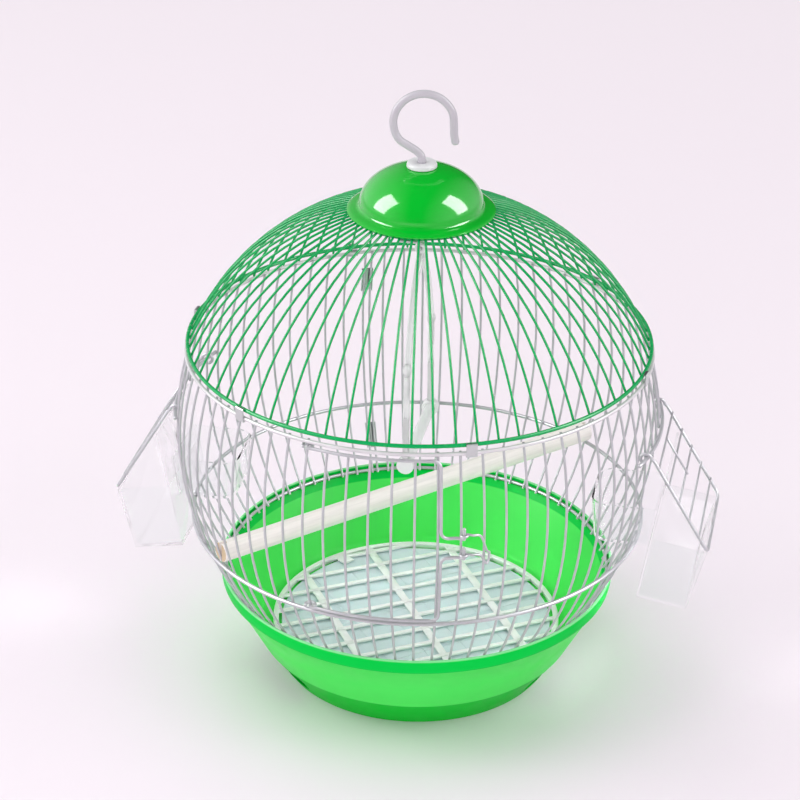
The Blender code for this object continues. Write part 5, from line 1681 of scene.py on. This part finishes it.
class CAGE_OT_swing(bpy.types.Operator):
    """Model the milky swing: an eye, two channelled arms and a socket at each foot"""

    bl_idname = "cage.swing"
    bl_label = "Swing"

    def execute(self, context):
        settings = context.scene.cage_perch
        colour = tuple(settings.swing_colour)
        look = moulded_look("milky_plastic", colour, 0.22, 0.4)
        along = Matrix.Rotation(math.radians(90.0), 4, "X")
        head = Matrix.Translation((0.0, 0.0, SWING_PIVOT_Z)) @ along
        bm = bmesh.new()
        eye_profile = [
            (0.0015, -0.0024),
            (0.0019, -0.0027),
            (EYE_RADIUS - 0.0004, -0.0027),
            (EYE_RADIUS, -0.0023),
            (EYE_RADIUS, 0.0023),
            (EYE_RADIUS - 0.0004, 0.0027),
            (0.0019, 0.0027),
            (0.0015, 0.0024),
        ]
        spin_profile(bm, eye_profile, 40)
        bmesh.ops.transform(bm, matrix=head, verts=bm.verts[:])
        stem = Matrix.Translation((0.0, 0.0, SWING_PIVOT_Z - EYE_DROP * 0.82))
        bevelled_box(bm, (0.0036, 0.0044, EYE_DROP * 0.5), stem, 0.0008)
        for side in (-1.0, 1.0):
            self.add_arm(bm, side)
            self.add_foot(bm, side, along)
        nodes = ("swing_frame",)
        finish_piece("swing_yoke", bm, look, "swing", nodes, CURVED_SHARP)
        place = Matrix.Translation((0.0, 0.0, SWING_PERCH_Z)) @ along
        bm = bmesh.new()
        round_bar(bm, SWING_PERCH / 2.0, 2.0 * SWING_BAR_HALF, place, 32, 0.0005)
        finish_piece("swing_bar", bm, look, "swing", ("swing_perch",))
        return {"FINISHED"}

    def add_arm(self, bm, side):
        """Strip with a channel down both of its faces, from the eye to the foot."""
        eye_low = SWING_PIVOT_Z - EYE_DROP
        knee = SWING_SHOULDER_Z + (SWING_PIVOT_Z - SWING_SHOULDER_Z) * 0.62
        route = [
            (side * 0.0010, eye_low + 0.001),
            (side * SWING_SHOULDER * 0.30, eye_low - 0.0085),
            (side * SWING_SHOULDER * 0.55, knee),
            (side * SWING_SHOULDER * 0.80, (knee + SWING_SHOULDER_Z) / 2.0 + 0.003),
            (side * SWING_SHOULDER * 0.985, SWING_SHOULDER_Z + 0.004),
            (side * SWING_SHOULDER, SWING_SHOULDER_Z - 0.004),
            (side * SWING_FOOT * 0.99, SWING_PERCH_Z + 0.03),
            (side * SWING_FOOT, SWING_PERCH_Z + 0.004),
        ]
        spots = smooth_curve([(0.0, y, z) for y, z in route], 5)
        stations = []
        for index, spot in enumerate(spots):
            ahead = spots[min(index + 1, len(spots) - 1)]
            behind = spots[max(index - 1, 0)]
            heading = (ahead - behind).normalized()
            level = Vector((1.0, 0.0, 0.0))
            columns = (level, heading.cross(level), heading)
            stations.append(Matrix.Translation(spot) @ Matrix(columns).transposed().to_4x4())
        quarter = [
            (ARM_HALF, ARM_DEPTH - ARM_SOFT),
            (ARM_HALF - ARM_SOFT, ARM_DEPTH),
            (CHANNEL_HALF + 0.0001, ARM_DEPTH),
            (CHANNEL_HALF - 0.0001, ARM_DEPTH - CHANNEL_DEPTH),
        ]
        section = quarter + [(-u, v) for u, v in quarter[::-1]]
        section += [(-u, -v) for u, v in quarter] + [(u, -v) for u, v in quarter[::-1]]
        sweep_section(bm, section, stations)

    def add_foot(self, bm, side, along):
        """Knob and flat pad at the shoulder, solid shank and flared socket at the foot."""
        knob = Matrix.Translation((0.0, side * SWING_SHOULDER, SWING_SHOULDER_Z + 0.0035))
        knob = knob @ Matrix.Diagonal((0.0031, 0.0042, 0.0052, 1.0))
        bmesh.ops.create_uvsphere(bm, u_segments=24, v_segments=14, radius=1.0, matrix=knob)
        pad = Matrix.Translation((0.0, side * SWING_SHOULDER, SWING_SHOULDER_Z - 0.009))
        bevelled_box(bm, (0.0032, 0.0095, 0.018), pad, 0.0012, segments=3)
        lean = Matrix.Rotation(side * math.atan(0.002 / 0.07), 4, "X")
        shank = Matrix.Translation((0.0, side * SWING_FOOT * 0.987, SWING_PERCH_Z + 0.021))
        bevelled_box(bm, (0.0039, 0.0054, 0.034), shank @ lean, 0.0005)
        foot = Matrix.Translation((0.0, side * SWING_FOOT, SWING_PERCH_Z)) @ along
        round_bar(bm, 0.0062, 0.0074, foot, 32, 0.0012)


# The perch rests on two wires, numbered like all the others, in a notch at each end.
PERCH_LEFT = -9
PERCH_RIGHT = 27
PERCH_Z = 0.1345
NOTCH_DEPTH = 0.0017
NOTCH_LENGTH = 0.0055
PERCH_TRIM = 0.0076
SAWN_COLOUR = (0.60, 0.46, 0.29)


class CAGE_OT_perch(bpy.types.Operator):
    """Model the wooden perch, notched over a wire at each end"""

    bl_idname = "cage.perch"
    bl_label = "Perch"

    def execute(self, context):
        settings = context.scene.cage_perch
        left, right = PERCH_LEFT * PITCH, PERCH_RIGHT * PITCH
        upward = Vector((0.0, 0.0, 1.0))
        first = on_skin(left, PERCH_Z, -NOTCH_DEPTH / 2.0)
        last = on_skin(right, PERCH_Z, -NOTCH_DEPTH / 2.0)
        heading = (last - first).normalized()
        length = (last - first).length + NOTCH_LENGTH - PERCH_TRIM
        across = upward.cross(heading)
        turn = Matrix((across, upward, heading)).transposed().to_4x4()
        place = Matrix.Translation((first + last) / 2.0) @ turn
        grain = kept_look(
            "perch_wood",
            pale_wood,
            colour=tuple(settings.wood_colour),
            end_grain=SAWN_COLOUR,
            along=tuple(heading),
        )
        bm = bmesh.new()
        round_bar(bm, settings.perch / 2.0, length, place, 48, 0.0009)
        made = finish_piece("wood_perch", bm, grain, "cage", ("perch",))
        size = (WIRE + 4.0 * GAP, NOTCH_LENGTH + 0.004, settings.perch * 2.0)
        for number, (end, angle) in enumerate(((first, left), (last, right))):
            inward = -outward(angle)
            spot = end + inward * (NOTCH_LENGTH / 2.0 - NOTCH_DEPTH)
            turned = Matrix((sideways(angle), inward, upward)).transposed().to_4x4()
            bm = bmesh.new()
            bevelled_box(bm, size, Matrix.Translation(spot) @ turned, 0.0003, segments=1)
            cut_away(made, "perch_notch_%d" % number, bm)
        return {"FINISHED"}


# Clips and sleeves are bent out of one sheet.
SHEET = 0.0008
CLIP_COUNT = 6
CLIP_START = -151.0
CLIP_STEP = 58.0
CLIP_WIDTH = 0.0075
CLIP_LIP = 0.0019
SLEEVE_LENGTH = 0.02
SLEEVE_PLACES = (("upper", 0.231), ("lower", 0.1026))


class CAGE_OT_fasteners(bpy.types.Operator):
    """Model the six clips round the ring and the two sleeves on the seam"""

    bl_idname = "cage.fasteners"
    bl_label = "Clips and Sleeves"

    def execute(self, context):
        inner = max(SKIN.across(TOP_HOOP_Z), DOME_FOOT_RADIUS) + 2.0 * HOOP_OUT + GAP
        low = TOP_HOOP_Z - HOOP_REACH - GAP
        high = RING_Z + HOOP_REACH + GAP
        middle = SHEET / 2.0
        route = [
            (inner - CLIP_LIP, low - middle),
            (inner + middle, low - middle),
            (inner + middle, high + middle),
            (inner - CLIP_LIP, high + middle),
        ]
        look = steel_look()
        for number in range(CLIP_COUNT):
            angle = CLIP_START + CLIP_STEP * number
            spots = [outward(angle) * r + Vector((0.0, 0.0, z)) for r, z in route]
            strip = self.add_strip(round_corners(spots, 0.0009, 4), sideways(angle), CLIP_WIDTH)
            name = "clasp_%d" % (number + 1)
            node = "ring_clip_%d" % (number + 1)
            finish_piece(name, strip, look, "cage", (node,))
        for name, height in SLEEVE_PLACES:
            self.add_sleeve(name, height, look)
        return {"FINISHED"}

    def add_strip(self, path, across, width):
        """Bent strip of sheet metal along a path."""
        bm = bmesh.new()
        start = [bm.verts.new(path[0] + across * side * width / 2.0) for side in (-1.0, 1.0)]
        edges = [bm.edges.new(start)]
        for before, spot in zip(path, path[1:]):
            verts, edges = parts_of(bmesh.ops.extrude_edge_only(bm, edges=edges)["geom"])
            bmesh.ops.translate(bm, verts=verts, vec=spot - before)
        bmesh.ops.recalc_face_normals(bm, faces=bm.faces[:])
        bmesh.ops.solidify(bm, geom=bm.faces[:], thickness=SHEET)
        return bm

    def add_sleeve(self, name, height, look):
        """Folded sleeve over the two wires of the seam."""
        angle = SEAM_WIRE * PITCH - SEAM_STEP / 2.0
        lift = SKIN.lift(height)
        spread = math.radians(SEAM_STEP) * SKIN.across(height)
        half = (spread + WIRE) / 2.0 + 0.0010
        normal = SKIN.normal(angle, lift)
        along = Vector((0.0, 0.0, math.cos(lift))) - outward(angle) * math.sin(lift)
        centre = SKIN.place(angle, lift)
        across = sideways(angle)
        back = -0.0013
        front = 0.0011
        route = [
            (half, back),
            (half, front),
            (0.35 * half, front + 0.0002),
            (0.0, front - 0.0003),
            (-0.35 * half, front + 0.0002),
            (-half, front),
            (-half, back),
        ]
        spots = [centre + across * u + normal * v for u, v in route]
        strip = self.add_strip(round_corners(spots, 0.0007, 3), along, SLEEVE_LENGTH)
        node = "seam_crimp_" + name
        finish_piece("sleeve_" + name, strip, look, "cage", (node,))


# The door's frame turns down into two pins, and the latch turns on those.
DOOR_WIRE = 0.0023
STUB_HIGH_Z = 0.1985
STUB_LOW_Z = 0.1835
PIN_ANGLE = 20.9
PIN_OUT = 0.0045
PIN_RISES = (0.0006, 0.0022, 0.0085)
DOOR_CORNER = 0.006
HINGE_EYE = 0.0033
HINGE_EYE_TURN = 300.0 / 360.0
DOOR_STEPS = 10
LATCH_WIRE = 0.0017
LATCH_EYE_TURN = 255.0 / 360.0
LATCH_TIP_ANGLE = 27.0
LATCH_TIP_Z = 0.182


def pin_place(height):
    """Point on the upright axis of the latch's two pins."""
    return at(PIN_ANGLE, SKIN_RADIUS + PIN_OUT, height)


def along_skin(flat, out):
    """Turn (length round the skin, height) points into points beside the body."""
    return [on_skin(math.degrees(u / SKIN_RADIUS), z, out) for u, z in flat]


def split_long(points, longest):
    """Split the long runs of a row of points."""
    split = [Vector(points[0])]
    for first, second in zip(points, points[1:]):
        count = max(1, math.ceil((Vector(second) - Vector(first)).length / longest))
        for step in range(1, count + 1):
            split.append(Vector(first).lerp(Vector(second), step / count))
    return split


class CAGE_OT_door(bpy.types.Operator):
    """Model the wire door with its hinge eyes and pins, and the latch's bent tongue"""

    bl_idname = "cage.door"
    bl_label = "Door and Latch"

    def execute(self, context):
        wire = context.scene.cage_wire.wire
        low = LOWER_HOOP_Z + HOOP_REACH + DOOR_WIRE / 2.0 + 2.0 * GAP
        high = TOP_HOOP_Z - HOOP_REACH - DOOR_WIRE / 2.0 - 0.001
        out = DOOR_WIRE / 2.0 + GAP
        edge = math.radians(DOOR_WIRES * PITCH) * SKIN_RADIUS
        side = edge + wire / 2.0 + DOOR_WIRE * 0.4
        pin = math.radians(PIN_ANGLE) * SKIN_RADIUS
        hinge = -DOOR_WIRES * PITCH
        bm = bmesh.new()
        for level, stub in ((low, STUB_LOW_Z), (high, STUB_HIGH_Z)):
            flat = [(-edge + DOOR_CORNER, level), (side, level), (side, stub), (pin, stub)]
            flat = round_corners([Vector((*point, 0.0)) for point in flat], DOOR_CORNER, 8)
            flat = split_long(flat, longest=0.008)
            path = along_skin([(point.x, point.y) for point in flat], out)
            foot = pin_place(stub)
            path[-1] = path[-1].lerp(path[-2], 0.3).lerp(foot, 0.5)
            for rise in PIN_RISES:
                path.append(foot + Vector((0.0, 0.0, rise)))
            centre = on_skin(hinge, level, -0.00085)
            start = outward(hinge) + sideways(hinge) * 0.25
            ring = coil(centre, (0.0, 0.0, 1.0), start, HINGE_EYE, HINGE_EYE_TURN, 22)
            sweep(bm, smooth_curve(ring[::-1] + path, 2), DOOR_WIRE / 2.0, sides=14)
        depth = out - (DOOR_WIRE + wire) / 2.0 + 0.0005
        for number in range(1 - DOOR_WIRES, DOOR_WIRES):
            heights = even_lifts(low - 0.0003, high + 0.0003, DOOR_STEPS)
            points = [on_skin(number * PITCH, height, depth) for height in heights]
            sweep(bm, points, wire / 2.0, round_ends=False)
        nodes = ("front_door",)
        finish_piece("door_frame", bm, wire_look(), "door", nodes, ROD_SHARP)
        self.add_tongue()
        return {"FINISHED"}

    def add_tongue(self):
        """Thin wire tongue on the door's pins, bent over the next cage wire."""
        radius = DOOR_WIRE / 2.0 + GAP + LATCH_WIRE / 2.0
        middle = (PIN_ANGLE + LATCH_TIP_ANGLE) / 2.0
        ends = []
        for stub in (STUB_HIGH_Z, STUB_LOW_Z):
            height = stub + DOOR_WIRE / 2.0 + LATCH_WIRE / 2.0 + GAP + 0.0012
            start = outward(PIN_ANGLE) * -0.9 - sideways(PIN_ANGLE)
            centre = pin_place(height)
            ring = coil(centre, (0.0, 0.0, 1.0), start, radius, LATCH_EYE_TURN, 16)
            ring.append(at(PIN_ANGLE + 1.9, SKIN_RADIUS + PIN_OUT + 0.0008, height))
            ends.append(ring)
        upper, lower = ends
        tip = [
            on_skin(middle + 0.7, STUB_HIGH_Z + 0.0012, 0.0036),
            on_skin(LATCH_TIP_ANGLE - 0.9, LATCH_TIP_Z + 0.0055, 0.0022),
            on_skin(LATCH_TIP_ANGLE - 0.1, LATCH_TIP_Z + 0.0028, 0.0002),
            on_skin(LATCH_TIP_ANGLE, LATCH_TIP_Z, -0.0003),
            on_skin(LATCH_TIP_ANGLE - 0.1, LATCH_TIP_Z - 0.0028, 0.0002),
            on_skin(LATCH_TIP_ANGLE - 0.9, LATCH_TIP_Z - 0.0050, 0.0022),
            on_skin(middle + 0.7, STUB_LOW_Z + 0.0016, 0.0036),
        ]
        bm = bmesh.new()
        sweep(bm, smooth_curve(upper + tip + lower[::-1], 3), LATCH_WIRE / 2.0, sides=12)
        nodes = ("door_latch",)
        finish_piece("door_tongue", bm, wire_look(), "latch", nodes, ROD_SHARP)


# The feeder at a side: a tilted box outside with a wire flap over it, and a cup inside.
BOX_TOP_X = 0.1772
BOX_TOP_Z = 0.141
BOX_TILT = math.radians(9.5)
BOX_DEPTH = 0.041
BOX_TAPER = 0.004
BOX_HEIGHT = 0.049
BOX_BACK = 0.044
BOX_HALF = 0.0425
CUP_HALF = 0.028
CUP_REACH = 0.131
CUP_TOP = 0.157
CUP_WALL = 0.0014
CUP_ROUND = 0.012
CUP_SLANT = 0.09
FLAP_HALF = 0.043
FLAP_WIRE = 0.0023
FLAP_CROSS = 0.0016
FLAP_CROSSES = 5
FLAP_PITCH = 1.0 / 5.35
FLAP_CORNER = 0.006
FLAP_EYE = 0.0038
FLAP_EYE_TURN = 250.0 / 360.0


def box_point(out, up):
    """Point in the plane of the feeder's tilt: outward and upward from the box's top."""
    x = BOX_TOP_X + out * math.cos(BOX_TILT) + up * math.sin(BOX_TILT)
    z = BOX_TOP_Z - out * math.sin(BOX_TILT) + up * math.cos(BOX_TILT)
    return x, z


def feeder_matrix(side):
    """Matrix that stands an (x, z) outline in the plane across a feeder."""
    columns = (Vector((side, 0.0, 0.0)), Vector((0.0, 0.0, 1.0)), Vector((0.0, -side, 0.0)))
    return Matrix(columns).transposed().to_4x4()


def extrude_outline(bm, outline, half, place):
    """Extrude an outline of (x, y) points to both sides of its plane."""
    corners = [bm.verts.new((x, y, -half)) for x, y in outline]
    face = bm.faces.new(corners)
    moved = parts_of(bmesh.ops.extrude_face_region(bm, geom=[face])["geom"])[0]
    bmesh.ops.translate(bm, verts=moved, vec=(0.0, 0.0, 2.0 * half))
    bmesh.ops.transform(bm, matrix=place, verts=bm.verts[:])


class CAGE_OT_feeders(bpy.types.Operator):
    """Model the clear boxes and cups and the wire flaps at the two sides"""

    bl_idname = "cage.feeders"
    bl_label = "Feeders"

    def execute(self, context):
        settings = context.scene.cage_feeder
        colour = tuple(settings.clear_colour)
        clear = kept_look("clear_styrene", clear_styrene, colour=colour, roughness=0.04)
        for name, side in (("left", -1.0), ("right", 1.0)):
            self.add_box(name, side, clear, settings.wall)
            self.add_cup(name, side, clear)
            self.add_flap(name, side)
        return {"FINISHED"}

    def add_box(self, name, side, clear, wall):
        """Clear box with a back plate that stands in the opening."""
        outer = [
            box_point(BOX_DEPTH - BOX_TAPER, -BOX_HEIGHT),
            box_point(BOX_DEPTH, 0.0),
            box_point(wall, 0.0),
            box_point(wall, BOX_BACK),
            box_point(0.0, BOX_BACK),
            box_point(0.0, -BOX_HEIGHT),
        ]
        beside_plate = wall * 1.0001
        inner = [
            box_point(BOX_DEPTH - BOX_TAPER - wall, wall - BOX_HEIGHT),
            box_point(BOX_DEPTH - wall, wall),
            box_point(beside_plate, wall),
            box_point(beside_plate, wall - BOX_HEIGHT),
        ]
        place = feeder_matrix(side)
        bm = bmesh.new()
        extrude_outline(bm, outer, BOX_HALF, place)
        nodes = ("feeder_box_" + name,)
        body = "feeder_" + name
        made = finish_piece("feed_box_" + name, bm, clear, body, nodes)
        bm = bmesh.new()
        extrude_outline(bm, inner, BOX_HALF - wall, place)
        cut_away(made, "box_cavity", bm)
        round_edges(made, 0.0004)

    def add_cup(self, name, side, clear):
        """Clear trough inside the cage, with rounded corners."""
        low = LOWER_HOOP_Z + HOOP_REACH + 2.0 * GAP
        tilt = math.tan(BOX_TILT)
        slant = (CUP_TOP - low) * CUP_SLANT
        solids = []
        for inset, base, top in (
            (0.0, low, CUP_TOP),
            (CUP_WALL, low + CUP_WALL, CUP_TOP + 0.004),
        ):
            back_low = BOX_TOP_X + (base - BOX_TOP_Z) * tilt - GAP - inset
            back_top = BOX_TOP_X + (top - BOX_TOP_Z) * tilt - GAP - inset
            front_low = CUP_REACH + slant + inset
            front_top = CUP_REACH + inset - slant * (top - CUP_TOP) / (CUP_TOP - low)
            outline = [(front_low, base), (back_low, base), (back_top, top), (front_top, top)]
            bm = bmesh.new()
            extrude_outline(bm, outline, CUP_HALF - inset, Matrix.Identity(4))
            corners = []
            for edge in bm.edges:
                first, second = edge.verts
                upright = abs(first.co.z - second.co.z) < LEVEL
                if upright and max(first.co.x, second.co.x) < CUP_REACH + 0.02:
                    corners.append(edge)
            bevel_edges(bm, corners, CUP_ROUND - inset, segments=10)
            bmesh.ops.transform(bm, matrix=feeder_matrix(side), verts=bm.verts[:])
            solids.append(bm)
        nodes = ("feeder_cup_" + name,)
        body = "feeder_" + name
        made = finish_piece(
            "feed_cup_" + name, solids[0], clear, body, nodes
        )
        cut_away(made, "cup_cavity", solids[1])

    def add_flap(self, name, side):
        """Wire flap over a feeder box, its side wires coiled round the bar above."""
        shoulder = Vector((SKIN_RADIUS + 0.0011, 0.0, HEADER_Z - HOOP_REACH))
        corner = box_point(BOX_DEPTH, 0.0)
        lift = FLAP_WIRE / 2.0 + GAP + 0.0004
        foot = Vector((corner[0] + 0.0004, 0.0, corner[1] + lift))
        skin = SKIN.across(HEADER_Z) + 2.0 * HOOP_OUT * 0.35
        axis_x = math.sqrt(skin ** 2 - FLAP_HALF ** 2)
        y_axis = Vector((0.0, 1.0, 0.0))
        route = [
            shoulder + y_axis * FLAP_HALF,
            foot + y_axis * FLAP_HALF,
            foot - y_axis * FLAP_HALF,
            shoulder - y_axis * FLAP_HALF,
        ]
        middle = round_corners(route, FLAP_CORNER, 8)
        ends = []
        for end in (1.0, -1.0):
            centre = Vector((axis_x, end * FLAP_HALF, HEADER_Z))
            ends.append(coil(centre, y_axis, (-0.3, 0.0, -1.0), FLAP_EYE, FLAP_EYE_TURN, 18))
        turned = Matrix.Diagonal((side, side, 1.0, 1.0))
        path = ends[0] + middle + ends[1][::-1]
        bm = bmesh.new()
        sweep(bm, [turned @ point for point in path], FLAP_WIRE / 2.0, sides=14)
        slope = foot - shoulder
        under = Vector((slope.z, 0.0, -slope.x)).normalized()
        raise_by = under * -(FLAP_WIRE / 2.0 - FLAP_CROSS * 0.1)
        reach = y_axis * (FLAP_HALF + 0.0004)
        for number in range(FLAP_CROSSES):
            spot = shoulder + slope * FLAP_PITCH * (number + 0.4) + raise_by
            bar = [turned @ (spot + reach), turned @ spot, turned @ (spot - reach)]
            sweep(bm, bar, FLAP_CROSS / 2.0)
        lift_by = raise_by + raise_by.normalized() * FLAP_CROSS * 0.6
        first = shoulder + slope * FLAP_PITCH * 0.38 + lift_by
        last = shoulder + slope * FLAP_PITCH * 2.46 + lift_by
        sweep(bm, [turned @ first, turned @ last], FLAP_CROSS / 2.0)
        nodes = ("feeder_flap_" + name,)
        body = "flap_" + name
        look = wire_look()
        finish_piece("flap_wires_" + name, bm, look, body, nodes, ROD_SHARP)


class CAGE_PT_sidebar(bpy.types.Panel):
    """Sidebar panel that lists the cage's operators"""

    bl_label = "Bird Cage"
    bl_idname = "CAGE_PT_sidebar"
    bl_space_type = "VIEW_3D"
    bl_region_type = "UI"
    bl_category = "Bird Cage"

    def draw(self, context):
        for operator in OPERATORS:
            self.layout.operator(operator.bl_idname)


SETTINGS = {
    "cage_stage": StageSettings,
    "cage_wire": WireSettings,
    "cage_tub": TubSettings,
    "cage_crown": CrownSettings,
    "cage_perch": PerchSettings,
    "cage_feeder": FeederSettings,
}
OPERATORS = (
    CAGE_OT_stage,
    CAGE_OT_body_wires,
    CAGE_OT_dome_wires,
    CAGE_OT_tub,
    CAGE_OT_litter_tray,
    CAGE_OT_grating,
    CAGE_OT_cap,
    CAGE_OT_hook,
    CAGE_OT_crown_fittings,
    CAGE_OT_swing,
    CAGE_OT_perch,
    CAGE_OT_fasteners,
    CAGE_OT_door,
    CAGE_OT_feeders,
)


def register():
    """Register the settings, the operators and the panel."""
    for name, group in SETTINGS.items():
        bpy.utils.register_class(group)
        setattr(bpy.types.Scene, name, PointerProperty(type=group))
    for operator in OPERATORS:
        bpy.utils.register_class(operator)
    bpy.utils.register_class(CAGE_PT_sidebar)


def unregister():
    """Take back what register() added."""
    bpy.utils.unregister_class(CAGE_PT_sidebar)
    for operator in reversed(OPERATORS):
        bpy.utils.unregister_class(operator)
    for name, group in SETTINGS.items():
        delattr(bpy.types.Scene, name)
        bpy.utils.unregister_class(group)


def main():
    """Run every operator in order."""
    register()
    bpy.ops.cage.stage()
    bpy.ops.cage.body_wires()
    bpy.ops.cage.dome_wires()
    bpy.ops.cage.tub()
    bpy.ops.cage.litter_tray()
    bpy.ops.cage.grating()
    bpy.ops.cage.cap()
    bpy.ops.cage.hook()
    bpy.ops.cage.crown_fittings()
    bpy.ops.cage.swing()
    bpy.ops.cage.perch()
    bpy.ops.cage.fasteners()
    bpy.ops.cage.door()
    bpy.ops.cage.feeders()


if __name__ == "__main__":
    main()
